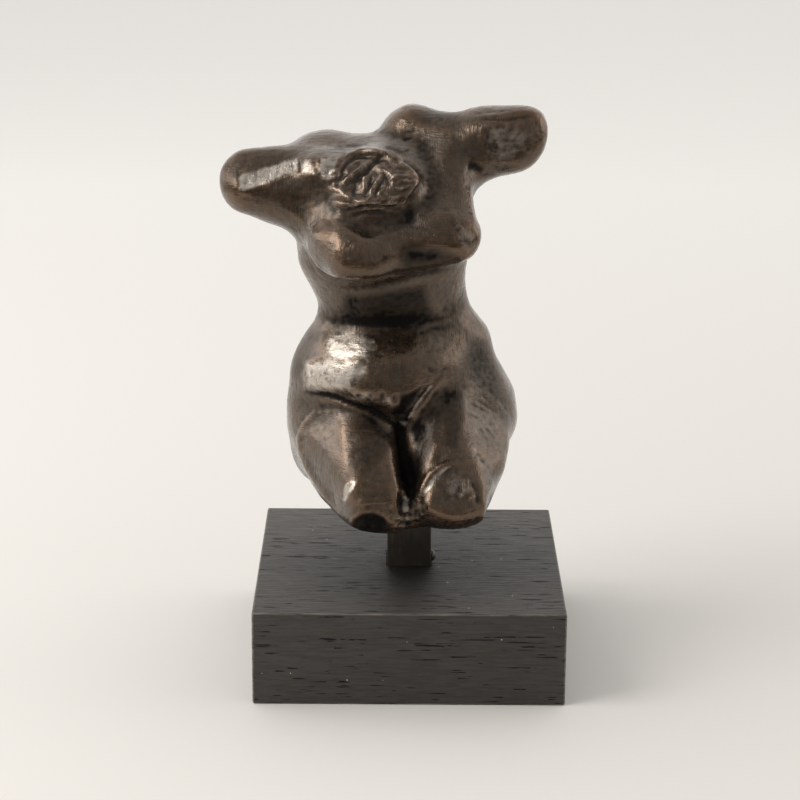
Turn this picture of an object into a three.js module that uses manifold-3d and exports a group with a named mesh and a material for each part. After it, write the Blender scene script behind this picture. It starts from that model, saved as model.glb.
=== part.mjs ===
// A small cast-bronze torso of a seated woman, leaning forward, with stumps for
// arms, neck and thighs, on a square metal post that stands in a square block of
// black-stained wood. Millimetres, +Z up, the figure faces -Y, and the origin is
// the centre of the block's underside.
import * as THREE from "three";
import { mergeVertices } from "three/addons/utils/BufferGeometryUtils.js";
import Module from "manifold-3d";

const wasm = await Module();
wasm.setup();

// Driving sizes
const plinthSide = 120;
const plinthHeight = 37.5;
const plinthEdge = 0.8;
const postSide = 17.5;
const postEdge = 0.5;
const postInPlinth = 10;
const postInTorso = 16;
const pinHeadDiameter = 4.4;
const pinHeadRise = 1.7;
const pinShankDiameter = 2;
const pinDepth = 5;
const pinHeadClearance = 0.5;
const pinSetForward = 4;
const pinFacets = 20;
const torsoHeight = 163;
const torsoAbovePlinth = 21;
const socketMouth = 26;
const fitGap = 0.3;

const skinCell = 3.95;

// The clay is laid out in parts of the figure's height, and grows with it.
const clayScale = (() => {
  const partsInHeight = 163;
  return torsoHeight / partsInHeight;
})();

// Masses of clay. Each one is a function of a point that is negative inside it,
// zero on its surface and about the distance away from it outside.

function ellipsoid([cx, cy, cz], [rx, ry, rz], [turnX, turnY, turnZ] = [0, 0, 0]) {
  const turn = new THREE.Euler(...[turnX, turnY, turnZ].map(THREE.MathUtils.degToRad));
  const m = new THREE.Matrix4().makeRotationFromEuler(turn).elements;
  return (x, y, z) => {
    const dx = x - cx;
    const dy = y - cy;
    const dz = z - cz;
    const a = (m[0] * dx + m[1] * dy + m[2] * dz) / rx;
    const b = (m[4] * dx + m[5] * dy + m[6] * dz) / ry;
    const c = (m[8] * dx + m[9] * dy + m[10] * dz) / rz;
    const reach = Math.hypot(a, b, c);
    const slope = Math.hypot(a / rx, b / ry, c / rz);
    return slope < 1e-9 ? -Math.min(rx, ry, rz) : (reach * (reach - 1)) / slope;
  };
}

// A round limb that tapers from one end's radius to the other's.
function limb([ax, ay, az], [bx, by, bz], startRadius, endRadius) {
  const [ux, uy, uz] = [bx - ax, by - ay, bz - az];
  const lengthSquared = ux * ux + uy * uy + uz * uz;
  return (x, y, z) => {
    const along = ((x - ax) * ux + (y - ay) * uy + (z - az) * uz) / lengthSquared;
    const t = Math.min(1, Math.max(0, along));
    const away = Math.hypot(x - ax - ux * t, y - ay - uy * t, z - az - uz * t);
    return away - (startRadius + (endRadius - startRadius) * t);
  };
}

// A string of limbs through points of the form [x, y, z, radius].
function chain(soften, ...stops) {
  const limbs = stops.slice(1).map(([bx, by, bz, endRadius], n) => {
    const [ax, ay, az, startRadius] = stops[n];
    return limb([ax, ay, az], [bx, by, bz], startRadius, endRadius);
  });
  return join(soften, ...limbs);
}

// Everything beyond a plane, on the side that its normal points to.
function outside([px, py, pz], normal) {
  const [nx, ny, nz] = new THREE.Vector3(...normal).normalize().toArray();
  return (x, y, z) => (px - x) * nx + (py - y) * ny + (pz - z) * nz;
}

function softMin(a, b, soften) {
  const overlap = Math.max(soften - Math.abs(a - b), 0) / soften;
  return Math.min(a, b) - (overlap * overlap * soften) / 4;
}

function join(soften, ...masses) {
  return (x, y, z) => masses.map((mass) => mass(x, y, z)).reduce((a, b) => softMin(a, b, soften));
}

function carve(soften, body, ...cuts) {
  return (x, y, z) =>
    cuts.reduce((left, cut) => -softMin(-left, cut(x, y, z), soften), body(x, y, z));
}

// The figure, in clay millimetres: x to the viewer's right, y away from the
// viewer, z up from the lower side of the thigh stumps. "Left" and "right" are
// the viewer's.

function makeHips() {
  const pelvis = ellipsoid([-4, 6, 46], [36, 25, 26]);
  const leftButtock = ellipsoid([-23.5, 14, 28], [25, 23, 25.5]);
  const rightButtock = ellipsoid([16.5, 14, 36], [24.5, 22, 24]);
  const leftFlank = ellipsoid([-22.3, 3, 58], [25, 19, 20]);
  const rightFlank = ellipsoid([9.5, 4, 66], [23, 18, 20]);
  const leftWaist = ellipsoid([-20, 3, 71.5], [17.5, 15, 12]);
  const leftHip = ellipsoid([-27, 4, 43], [20.5, 18, 16]);
  const rightHip = ellipsoid([18, 4, 44], [23, 20, 19]);
  const seat = join(4, leftButtock, rightButtock);
  const cleft = chain(4, [-4, 36, 50, 1], [-4, 38, 30, 5], [-4, 32, 8, 5]);
  return carve(6, join(9, seat, pelvis, leftWaist, leftFlank, leftHip, rightFlank, rightHip), cleft);
}

function makeBelly() {
  const belly = ellipsoid([-8, -9.5, 64.5], [29, 21.5, 16.5], [14, 0, 0]);
  const underBelly = ellipsoid([-11, -9, 57], [29, 21.5, 12]);
  const mound = ellipsoid([-4, -15, 51], [13, 15, 12]);
  return join(6, belly, underBelly, mound);
}

function makeRibs() {
  const waist = ellipsoid([-7, 2, 88], [28, 19, 20]);
  const ribs = ellipsoid([-11, -6, 110], [33.5, 22, 32], [26, 0, 0]);
  const upperChest = ellipsoid([-11, -13, 128], [31, 18, 16], [30, 0, 0]);
  return join(9, waist, ribs, upperChest);
}

// The bust is one slab with a level lower edge, a breast at each end of it.
function makeBust() {
  const left = chain(6, [-31, -19, 124, 8], [-26, -29, 116.5, 12], [-20, -36, 113, 13.5]);
  const middle = ellipsoid([-6, -26, 116.5], [20, 18, 14], [20, 0, 0]);
  const right = ellipsoid([10, -28, 119.5], [14, 15, 13.5], [20, 0, 8]);
  const knob = ellipsoid([19.5, -35, 119.5], [5.5, 6, 6.5]);
  const slab = join(7, left, middle, right, knob);
  const hollow = ellipsoid([6, -48, 114], [9, 5.5, 4.5]);
  return carve(3, slab, hollow, outside([-3, -42, 106.8], [0.08, 0.05, -1]));
}

function makeShoulders() {
  const leftArm = chain(4, [-36, -8, 135, 14.5], [-50, -11, 134, 14], [-60.5, -13, 136, 13]);
  const leftPit = chain(4, [-50, -12, 131, 10], [-34, -17, 124, 12]);
  const rightArm = chain(4, [14, -1, 146, 14], [28, -4, 150, 12.8], [37.5, -6, 151.3, 13]);
  const rightCorner = ellipsoid([43.5, -6, 155.6], [8.3, 9, 8.3]);
  const rightPit = chain(4, [22, -6, 145, 8.2], [12, -14, 131, 10.6]);
  const strap = chain(6, [13, -13, 141, 7.6], [15.8, -24, 130, 5.6], [19.5, -33, 120.5, 4]);
  const leftBlade = ellipsoid([-33, 3, 140], [15, 13, 13]);
  const rightBlade = ellipsoid([0, 5, 149.3], [12.5, 12.5, 13.6]);
  const nape = ellipsoid([-16, -4, 142], [14, 14, 10]);
  const leftStump = carve(3, join(4, leftArm, leftPit), outside([-57, -20.4, 142], [-0.1, -0.72, 0.7]));
  const rightStump = carve(3, join(4, rightArm, rightCorner), outside([38, -15.6, 152], [0.2, -0.95, 0.15]));
  return join(8, leftStump, rightStump, rightPit, strap, leftBlade, rightBlade, nape);
}

function makeNeck() {
  const stump = limb([-13, -14, 130], [-17.2, -40, 145.3], 19, 12.5);
  const broken = carve(3, stump, outside([-16.5, -34, 138], [-0.12, -0.7, 0.7]));
  const spur = limb([-4, -12, 138], [-2, -29, 137], 11, 6.5);
  const shelf = ellipsoid([-33, -17, 138.5], [12, 12, 9], [-30, 0, 0]);
  return join(5, broken, spur, shelf);
}

function makeThighs() {
  const left = chain(8, [-25, 4, 34, 23], [-19, -17, 33, 25], [-12, -33, 20, 21]);
  const leftSides = [
    outside([-30, -30, 38], [-0.66, -0.56, 0.5]),
    outside([-15, -34, 40.5], [0.1, -0.73, 0.67]),
    outside([-14, -50.5, 16], [0.1, -1, -0.1]),
    outside([-14, -36, 5.6], [-0.1, 0, -1]),
    outside([-28, -36, 8], [-0.87, -0.48, -0.1]),
    outside([-1, -36, 16], [1, -0.1, 0]),
  ];
  const right = chain(8, [17, 4, 38, 22], [14, -17, 36, 24], [17, -32, 24, 21]);
  const rightSides = [
    outside([18, -47.5, 24], [0.12, -0.86, 0.5]),
    outside([7, -32, 43], [-0.37, -0.75, 0.55]),
    outside([17, -32, 42.5], [-0.03, -0.76, 0.65]),
    outside([27, -29, 37], [0.66, -0.5, 0.56]),
    outside([33.2, -35, 15], [0.95, -0.18, -0.22]),
    outside([19, -36, 5.6], [0.24, 0, -1]),
    outside([0.5, -36, 21], [-1, -0.1, 0.2]),
  ];
  const web = chain(4, [1, -36, 13, 8], [-1, -24, 30, 9], [0, -14, 18, 13]);
  const thighs = join(2, carve(4, left, ...leftSides), carve(4, right, ...rightSides));
  return join(3, thighs, web);
}

// Creases that a modelling tool has pressed into the clay.
function makeCreases() {
  const leftGroin = chain(2, [-43, -17, 53, 0.5], [-25, -27, 54, 1.5], [-13, -29, 48, 2], [-3, -30, 43, 2.5]);
  const rightGroin = chain(2, [14, -26, 60, 0.5], [6, -29, 55, 1.5], [-3, -30, 43, 2.5]);
  const betweenThighs = chain(2, [-3, -30, 43, 2.5], [-1, -38, 31, 2.5], [0.3, -45, 20, 1.5]);
  const underNeck = chain(3, [-28, -38, 129, 1], [-16, -42, 126, 3.5], [-3, -38, 128, 2]);
  const waistFold = chain(2, [-30, -21, 81, 1], [-8, -26, 79.5, 3], [10, -22, 81.5, 3], [19, -15, 84, 1]);
  const spine = chain(3, [-14, 17, 146, 1], [-12, 21, 128, 2.5], [-8, 22, 100, 3], [-5, 25, 70, 2.5], [-4, 30, 54, 1]);
  return [leftGroin, rightGroin, betweenThighs, underNeck, waistFold, spine];
}

function makeFigure() {
  const chest = join(5, join(7, makeRibs(), makeShoulders()), makeBust());
  const upper = join(6, chest, makeNeck());
  const trunk = join(4, upper, makeBelly());
  const whole = join(5, join(9, trunk, makeHips()), makeThighs());
  return carve(5, whole, ...makeCreases());
}

// The skin of a mass of clay: one point in each cell that its surface crosses,
// drawn onto the surface, and a quad across each grid edge that it crosses.
function skinOf(mass, low, high, cell) {
  const counts = low.map((value, i) => Math.ceil((high[i] - value) / cell) + 1);
  const strides = [1, counts[0], counts[0] * counts[1]];
  const field = new Float32Array(counts[0] * counts[1] * counts[2]);
  const place = (i, axis) => low[axis] + i * cell;
  for (let k = 0, n = 0; k < counts[2]; k++)
    for (let j = 0; j < counts[1]; j++)
      for (let i = 0; i < counts[0]; i++, n++) field[n] = mass(place(i, 0), place(j, 1), place(k, 2));
  settle(field, strides);

  const points = [];
  const pointOf = new Map();
  for (let k = 0; k + 1 < counts[2]; k++)
    for (let j = 0; j + 1 < counts[1]; j++)
      for (let i = 0; i + 1 < counts[0]; i++) {
        const home = i + j * strides[1] + k * strides[2];
        const point = crossingPoint(field, strides, home, [i, j, k]);
        if (!point) continue;
        pointOf.set(home, points.length / 3);
        points.push(...point.map((share, axis) => place(share, axis)));
      }

  const quads = [];
  for (const home of pointOf.keys())
    for (let axis = 0; axis < 3; axis++) {
      const side = strides[(axis + 1) % 3];
      const other = strides[(axis + 2) % 3];
      const corner = home + side + other;
      const inside = field[corner] < 0;
      if (inside === field[corner + strides[axis]] < 0) continue;
      const around = [home, home + side, home + side + other, home + other].map((n) => pointOf.get(n));
      if (around.includes(undefined)) continue;
      quads.push(inside ? around : around.reverse());
    }
  drawOnto(mass, points, quads, cell);
  return { points, quads };
}

// Where only two opposite corners of a grid square are inside, the skin would
// meet itself along an edge, so the corner nearest the surface changes sides.
function settle(field, strides) {
  const passes = 3;
  for (let pass = 0; pass < passes; pass++)
    for (let axis = 0; axis < 3; axis++) {
      const [side, other] = [strides[axis], strides[(axis + 1) % 3]];
      for (let home = 0; home + side + other < field.length; home++) {
        const square = [home, home + side, home + side + other, home + other];
        const [a, b, c, d] = square.map((n) => field[n] < 0);
        if (a !== c || b !== d || a === b) continue;
        const nearest = square.reduce((m, n) => (Math.abs(field[n]) < Math.abs(field[m]) ? n : m));
        field[nearest] = -field[nearest];
      }
    }
}

// The mean of the places where the surface crosses a cell's twelve edges.
function crossingPoint(field, strides, home, [i, j, k]) {
  const sum = [0, 0, 0];
  let crossings = 0;
  for (let axis = 0; axis < 3; axis++) {
    const [sideAxis, otherAxis] = [(axis + 1) % 3, (axis + 2) % 3];
    for (let corner = 0; corner < 4; corner++) {
      const offset = [0, 0, 0];
      offset[sideAxis] = corner & 1;
      offset[otherAxis] = corner >> 1;
      const start = home + offset[0] * strides[0] + offset[1] * strides[1] + offset[2] * strides[2];
      const a = field[start];
      const b = field[start + strides[axis]];
      if (a < 0 === b < 0) continue;
      offset[axis] = a / (a - b);
      [i, j, k].forEach((base, n) => (sum[n] += base + offset[n]));
      crossings++;
    }
  }
  return crossings ? sum.map((value) => value / crossings) : null;
}

// Evens out the points and draws them back onto the surface, a few times.
function drawOnto(mass, points, quads, cell) {
  const rounds = 4;
  const step = cell * 0.05;
  for (let round = 0; round < rounds; round++) {
    const sums = new Float64Array(points.length);
    const uses = new Uint16Array(points.length / 3);
    for (const quad of quads)
      quad.forEach((a, n) => {
        const b = quad[(n + 1) % 4];
        for (let axis = 0; axis < 3; axis++) {
          sums[a * 3 + axis] += points[b * 3 + axis];
          sums[b * 3 + axis] += points[a * 3 + axis];
        }
        uses[a]++;
        uses[b]++;
      });
    for (let n = 0; n < uses.length; n++) {
      const p = [0, 1, 2].map((axis) => (points[n * 3 + axis] + sums[n * 3 + axis] / uses[n]) / 2);
      for (let pull = 0; pull < 2; pull++) {
        const here = mass(...p);
        const slope = [0, 1, 2].map((axis) => {
          const q = [...p];
          q[axis] += step;
          return (mass(...q) - here) / step;
        });
        const steep = slope[0] ** 2 + slope[1] ** 2 + slope[2] ** 2;
        const pace = Math.min(cell / 2, Math.max(-cell / 2, here / Math.max(steep, 0.25)));
        slope.forEach((value, axis) => (p[axis] -= value * pace));
      }
      p.forEach((value, axis) => (points[n * 3 + axis] = value));
    }
  }
}

// Two triangles for each quad, split along its shorter diagonal.
function geometryOf({ points, quads }, scale) {
  const span = (a, b) =>
    Math.hypot(...[0, 1, 2].map((axis) => points[a * 3 + axis] - points[b * 3 + axis]));
  const index = quads.flatMap(([a, b, c, d]) =>
    span(a, c) < span(b, d) ? [a, b, c, a, c, d] : [b, c, d, b, d, a],
  );
  const geometry = new THREE.BufferGeometry();
  geometry.setAttribute("position", new THREE.Float32BufferAttribute(points, 3));
  geometry.setIndex(index);
  return geometry.scale(scale, scale, scale);
}

// Solids

function solidOf(geometry) {
  const bare = geometry.clone();
  bare.deleteAttribute("normal");
  bare.deleteAttribute("uv");
  const merged = mergeVertices(bare);
  const vertProperties = merged.attributes.position.array;
  const triVerts = new Uint32Array(merged.index.array);
  return new wasm.Manifold(new wasm.Mesh({ numProp: 3, vertProperties, triVerts }));
}

function geometryFrom(solid) {
  const { vertProperties, triVerts } = solid.getMesh();
  const geometry = new THREE.BufferGeometry();
  geometry.setAttribute("position", new THREE.Float32BufferAttribute(vertProperties, 3));
  geometry.setIndex(new THREE.BufferAttribute(triVerts, 1));
  return geometry;
}

// A square bar standing on z = 0. Its edges are rounded by the given radius, and
// its upright corners by half as much again.
function squareBar(side, height, edge, steps = 3) {
  const shape = new THREE.Shape();
  const round = edge * 1.5;
  const corner = side / 2 - round;
  shape.absarc(corner, corner, round, 0, Math.PI / 2);
  shape.absarc(-corner, corner, round, Math.PI / 2, Math.PI);
  shape.absarc(-corner, -corner, round, Math.PI, Math.PI * 1.5);
  shape.absarc(corner, -corner, round, Math.PI * 1.5, Math.PI * 2);
  shape.closePath();
  const bar = new THREE.ExtrudeGeometry(shape, {
    depth: height - 2 * edge,
    bevelThickness: edge,
    bevelSize: edge,
    bevelOffset: -edge,
    bevelSegments: steps,
    curveSegments: steps,
  });
  return bar.translate(0, 0, edge);
}

function boxAt(width, depth, height, x, y, bottom) {
  return new THREE.BoxGeometry(width, depth, height).translate(x, y, bottom + height / 2);
}

const postFoot = plinthHeight - postInPlinth;
const torsoFloor = plinthHeight + torsoAbovePlinth;
const socketTop = torsoFloor + socketMouth * clayScale + postInTorso;
const postTop = socketTop - fitGap;
const holeSide = postSide + 2 * fitGap;
const pinLevel = plinthHeight + pinHeadClearance + pinHeadDiameter / 2;

function makeTorso() {
  const skin = skinOf(makeFigure(), [-82, -62, -8], [62, 46, 172], skinCell);
  const figure = solidOf(geometryOf(skin, clayScale).translate(0, 0, torsoFloor));
  const below = plinthHeight;
  const socket = solidOf(boxAt(holeSide, holeSide, socketTop - below, 0, 0, below));
  return geometryFrom(figure.subtract(socket));
}

function makePlinth() {
  const block = solidOf(squareBar(plinthSide, plinthHeight, plinthEdge));
  const mortiseBottom = postFoot - fitGap;
  const mortise = boxAt(holeSide, holeSide, postInPlinth + 2 * fitGap, 0, 0, mortiseBottom);
  return geometryFrom(block.subtract(solidOf(mortise)));
}

function makePost() {
  const height = postTop - postFoot;
  const bar = solidOf(squareBar(postSide, height, postEdge, 1).translate(0, 0, postFoot));
  const holeRadius = pinShankDiameter / 2 + fitGap;
  const holeLength = pinDepth + fitGap + postSide;
  const hole = new THREE.CylinderGeometry(holeRadius, holeRadius, holeLength, pinFacets);
  hole.rotateZ(Math.PI / 2);
  const holeEnd = postSide / 2 - pinDepth - fitGap;
  hole.translate(holeEnd + holeLength / 2, -pinSetForward, pinLevel);
  return geometryFrom(bar.subtract(solidOf(hole)));
}

// A round-headed pin, driven into the post from the viewer's right.
function makePin() {
  const shank = pinShankDiameter / 2;
  const head = pinHeadDiameter / 2;
  const profile = new THREE.Path();
  profile.moveTo(0, -pinDepth);
  profile.lineTo(shank, -pinDepth);
  profile.lineTo(shank, fitGap);
  profile.lineTo(head, fitGap);
  profile.quadraticCurveTo(head, fitGap + pinHeadRise, 0, fitGap + pinHeadRise);
  const pin = new THREE.LatheGeometry(profile.getPoints(5), pinFacets);
  pin.rotateZ(-Math.PI / 2);
  return pin.translate(postSide / 2, -pinSetForward, pinLevel);
}

// Materials

const bronze = new THREE.MeshStandardMaterial({ color: 0x4a3a2e, roughness: 0.42, metalness: 0.85 });
const blackMetal = new THREE.MeshStandardMaterial({ color: 0x24201d, roughness: 0.5, metalness: 0.7 });
const blackWood = new THREE.MeshStandardMaterial({ color: 0x262524, roughness: 0.6, metalness: 0 });

function named(name, geometry, material) {
  const mesh = new THREE.Mesh(geometry, material);
  mesh.name = name;
  return mesh;
}

const sculpture = new THREE.Group();
sculpture.add(
  named("plinth", makePlinth(), blackWood),
  named("post", makePost(), blackMetal),
  named("post_pin", makePin(), blackMetal),
  named("torso", makeTorso(), bronze),
);

export default sculpture;
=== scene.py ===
"""A cast-bronze torso on a square post and a black-stained wooden block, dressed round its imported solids.

The figure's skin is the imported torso, remeshed fine and worked over with the marks of a modeller's tools.
Marks are placed as the camera sees them, in units of the 800 x 800 picture, and they land on the skin that is
turned to the camera. Other work is placed in clay coordinates: millimetres, with zero height at FIGURE_FLOOR.
"""

from __future__ import annotations

import logging
import math
from dataclasses import dataclass, field
from enum import Enum
from functools import partial
from typing import Callable, Iterable, Sequence

import bmesh
import bpy
import numpy as np
from mathutils import Matrix, Vector
from mathutils import noise as perlin


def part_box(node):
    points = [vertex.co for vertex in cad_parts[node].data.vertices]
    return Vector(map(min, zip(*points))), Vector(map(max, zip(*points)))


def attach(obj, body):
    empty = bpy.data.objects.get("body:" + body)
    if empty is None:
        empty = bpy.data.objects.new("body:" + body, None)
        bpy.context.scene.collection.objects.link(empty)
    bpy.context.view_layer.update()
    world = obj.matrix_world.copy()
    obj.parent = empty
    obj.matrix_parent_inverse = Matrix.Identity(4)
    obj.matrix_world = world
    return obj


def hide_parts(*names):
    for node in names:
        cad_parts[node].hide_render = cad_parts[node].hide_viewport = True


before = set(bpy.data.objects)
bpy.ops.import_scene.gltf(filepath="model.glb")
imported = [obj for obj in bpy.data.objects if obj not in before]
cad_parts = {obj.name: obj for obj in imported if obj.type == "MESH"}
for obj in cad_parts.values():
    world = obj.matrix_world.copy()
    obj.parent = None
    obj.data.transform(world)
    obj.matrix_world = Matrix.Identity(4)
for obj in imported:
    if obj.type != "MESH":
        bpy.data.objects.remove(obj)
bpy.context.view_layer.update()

LOG = logging.getLogger("torso")

MM = 0.001
FIGURE_FLOOR = 58.5
# Points closer than this, in millimetres, count as one.
TOUCH = 0.01

Point = tuple[float, float, float]
Spot = tuple[float, float]
Socket = bpy.types.NodeSocket
Adder = Callable[..., Socket]


def linear(code: str) -> tuple[float, float, float, float]:
    """Turns a colour into the linear values that shaders read.

    Args:
        code: The colour as sRGB hex, such as "#3a2f28".

    Returns:
        Red, green, blue and an alpha of one.
    """
    channels = [int(code[place : place + 2], 16) / 255 for place in (1, 3, 5)]
    red, green, blue = (c / 12.92 if c <= 0.04045 else ((c + 0.055) / 1.055) ** 2.4 for c in channels)
    return red, green, blue, 1.0


def add_node(
    tree: bpy.types.NodeTree,
    kind: str,
    inputs: dict | None = None,
    output: int | str = 0,
    **settings: object,
) -> Socket | None:
    """Adds a node with its settings and links.

    Args:
        tree: The node tree that it joins.
        kind: The node's type name, without the leading "ShaderNode".
        inputs: For each input's name or number, a value or the output socket that feeds it.
        output: The name or number of the output that is asked for.
        settings: The node's own properties.

    Returns:
        The output that is asked for, or None from a node that has none.
    """
    node = tree.nodes.new("ShaderNode" + kind)
    for name, value in settings.items():
        setattr(node, name, value)
    for name, value in (inputs or {}).items():
        if isinstance(value, Socket):
            tree.links.new(value, node.inputs[name])
        else:
            node.inputs[name].default_value = value
    return node.outputs[output] if node.outputs else None


def new_material(name: str) -> tuple[bpy.types.Material, Adder]:
    """Starts an empty node material.

    Args:
        name: The material's name.

    Returns:
        The material, and add_node for its own tree.
    """
    material = bpy.data.materials.new(name)
    material.use_nodes = True
    material.node_tree.nodes.clear()
    return material, partial(add_node, material.node_tree)


@dataclass(frozen=True)
class CastBronze:
    """Bronze cast from a clay model, with a dark brown liver-of-sulphur patina under wax.

    The patina gives the eye a nearly black body with a broad, half-sharp gloss that turns pale at the rims.
    Wax and hands have rubbed it to a warmer brown on raised forms, and it stays black and dull in hollows;
    painted highlights in pale bronze lie on the belly, arm stumps, thighs and breaks, and painted shade
    blackens folds, clefts and shaded flats.
    Real brush lines are about 0.2 mm wide, too fine to show, so they are drawn nearly three times as wide.
    """

    body: str = "#54483c"
    rubbed: str = "#73573f"
    # Black patina in hollows, also the colour of the painted shade.
    hollow: str = "#191614"
    # Pale bronze of wear, also the colour of the painted highlights.
    polished: str = "#b4aba1"
    metallic: float = 0.85
    wax: float = 0.5
    wax_roughness: float = 0.16
    gloss: tuple[float, float] = (0.2, 0.38)
    dulling: float = 0.4
    cloud_size: float = 14.0
    clouding: float = 0.45
    mottle_size: float = 2.6
    speckling: float = 0.22
    flecking: float = 2.0
    stroke_length: float = 7.0
    stroke_width: float = 0.55
    stroke_reach: float = 5 / 3
    stroke_depth: float = 0.15
    level_turn: Point = (0.0, 0.3, 0.2)
    upright_turn: Point = (0.2, -0.25, 0.4)
    lay_size: float = 18.0
    ripple_size: float = 1.4
    ripple_depth: float = 0.1
    pit_size: float = 0.7
    pit_depth: float = 0.06
    swell_size: float = 5.0
    swell_depth: float = 0.2

    def material(self) -> bpy.types.Material:
        """Builds the patinated bronze.

        Returns:
            The material, which reads the skin's own attributes: black patina with painted shade, rubbed
            brown, and pale wear with painted highlights.
        """
        material, add = new_material("cast_bronze_brown_patina")
        place = add("TexCoord", output="Object")
        in_mm = add("VectorMath", {0: place, "Scale": 1 / MM}, operation="SCALE")
        hollow = add("Attribute", output="Fac", attribute_name="hollow")
        rubbed = add("Attribute", output="Fac", attribute_name="rubbed")
        worn = add("Attribute", output="Fac", attribute_name="worn")
        clouds = add("TexNoise", {"Vector": in_mm, "Scale": 1 / self.cloud_size, "Detail": 3.0})
        mottle = add("TexNoise", {"Vector": in_mm, "Scale": 1 / self.mottle_size, "Detail": 5.0})

        # Raised forms are a warmer brown, which also lies in clouds over the rest.
        clouds = add("MapRange", {"Value": clouds, "From Min": 0.45, "From Max": 0.7})
        broken = add("MapRange", {"Value": mottle, "From Min": 0.35, "From Max": 0.65})
        clouds = add("Math", {0: clouds, 1: broken}, operation="MULTIPLY")
        warm = add("Math", {0: clouds, 1: self.clouding, 2: rubbed}, operation="MULTIPLY_ADD", use_clamp=True)
        tint = add("Mix", {0: warm, 6: linear(self.body), 7: linear(self.rubbed)}, 2, data_type="RGBA")

        # Hollows stay black, painted shade blackens folds, clefts and shaded flats, and black speckles the
        # rest.
        speckles = add("MapRange", {"Value": mottle, "From Min": 0.6, "From Max": 0.3})
        dark = {0: speckles, 1: self.speckling, 2: hollow}
        dark = add("Math", dark, operation="MULTIPLY_ADD", use_clamp=True)
        tint = add("Mix", {0: dark, 6: tint, 7: linear(self.hollow)}, 2, data_type="RGBA")

        # Painted highlights, with some rubbed wear, are pale metal that breaks up into flecks at their rims.
        flecks = add("Math", {0: mottle, 1: 0.5}, operation="SUBTRACT")
        flecks = add("Math", {0: flecks, 1: self.flecking, 2: worn}, operation="MULTIPLY_ADD")
        flecks = add("MapRange", {"Value": flecks, "From Min": 0.25, "From Max": 0.95})
        bright = add("Math", {0: flecks, 1: worn}, operation="MULTIPLY")
        tint = add("Mix", {0: bright, 6: tint, 7: linear(self.polished)}, 2, data_type="RGBA")

        # The wax is thin and the metal dull in the hollows and under the painted shade.
        spread = {"From Min": 0.3, "From Max": 0.7, "To Min": self.gloss[0], "To Max": self.gloss[1]}
        rough = add("MapRange", {"Value": mottle} | spread)
        rough = add("Math", {0: hollow, 1: self.dulling, 2: rough}, operation="MULTIPLY_ADD")
        wax = add("Math", {0: hollow, 1: -self.wax, 2: self.wax}, operation="MULTIPLY_ADD")

        bump = self._relief(add, in_mm)
        sockets = {"Base Color": tint, "Metallic": self.metallic, "Roughness": rough, "Normal": bump}
        coat = {"Coat Weight": wax, "Coat Roughness": self.wax_roughness, "Coat Normal": bump}
        add("OutputMaterial", {"Surface": add("BsdfPrincipled", sockets | coat)})
        return material

    def _relief(self, add: Adder, in_mm: Socket) -> Socket:
        """Adds the relief that is too fine for the mesh: strokes, swells, ripples and pits.

        Args:
            add: Adds a node to the material.
            in_mm: The place on the figure in millimetres.

        Returns:
            The bumped normal.
        """
        swells = add("TexNoise", {"Vector": in_mm, "Scale": 1 / self.swell_size, "Detail": 2.0})
        ripples = add("TexNoise", {"Vector": in_mm, "Scale": 1 / self.ripple_size, "Detail": 2.0})
        pits = add("TexNoise", {"Vector": in_mm, "Scale": 1 / self.pit_size, "Detail": 1.0})
        pits = add("MapRange", {"Value": pits, "From Min": 0.66, "From Max": 0.78})
        height = add("Math", {0: self._strokes(add, in_mm), 1: self.stroke_depth}, operation="MULTIPLY")
        height = add("Math", {0: swells, 1: self.swell_depth, 2: height}, operation="MULTIPLY_ADD")
        height = add("Math", {0: ripples, 1: self.ripple_depth, 2: height}, operation="MULTIPLY_ADD")
        height = add("Math", {0: pits, 1: -self.pit_depth, 2: height}, operation="MULTIPLY_ADD")
        return add("Bump", {"Height": height, "Distance": MM, "Strength": 1.0})

    def _strokes(self, add: Adder, in_mm: Socket) -> Socket:
        """Adds brush and scraper strokes, which run across some stretches and down others.

        Args:
            add: Adds a node to the material.
            in_mm: The place on the figure in millimetres.

        Returns:
            The strokes' height, from zero to about one.
        """
        along, across, reach = 1 / self.stroke_length, 1 / self.stroke_width, 1 / self.stroke_reach
        lays = {self.level_turn: (along, reach, across), self.upright_turn: (across, reach, along)}
        places = [add("Mapping", {"Vector": in_mm, "Rotation": turn, "Scale": lays[turn]}) for turn in lays]
        level, upright = (add("TexNoise", {"Vector": lay, "Scale": 1.0, "Detail": 3.0}) for lay in places)
        share = add("TexNoise", {"Vector": in_mm, "Scale": 1 / self.lay_size, "Detail": 1.0})
        share = add("MapRange", {"Value": share, "From Min": 0.42, "From Max": 0.58})
        return add("Mix", {0: share, 2: upright, 3: level}, data_type="FLOAT")


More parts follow.
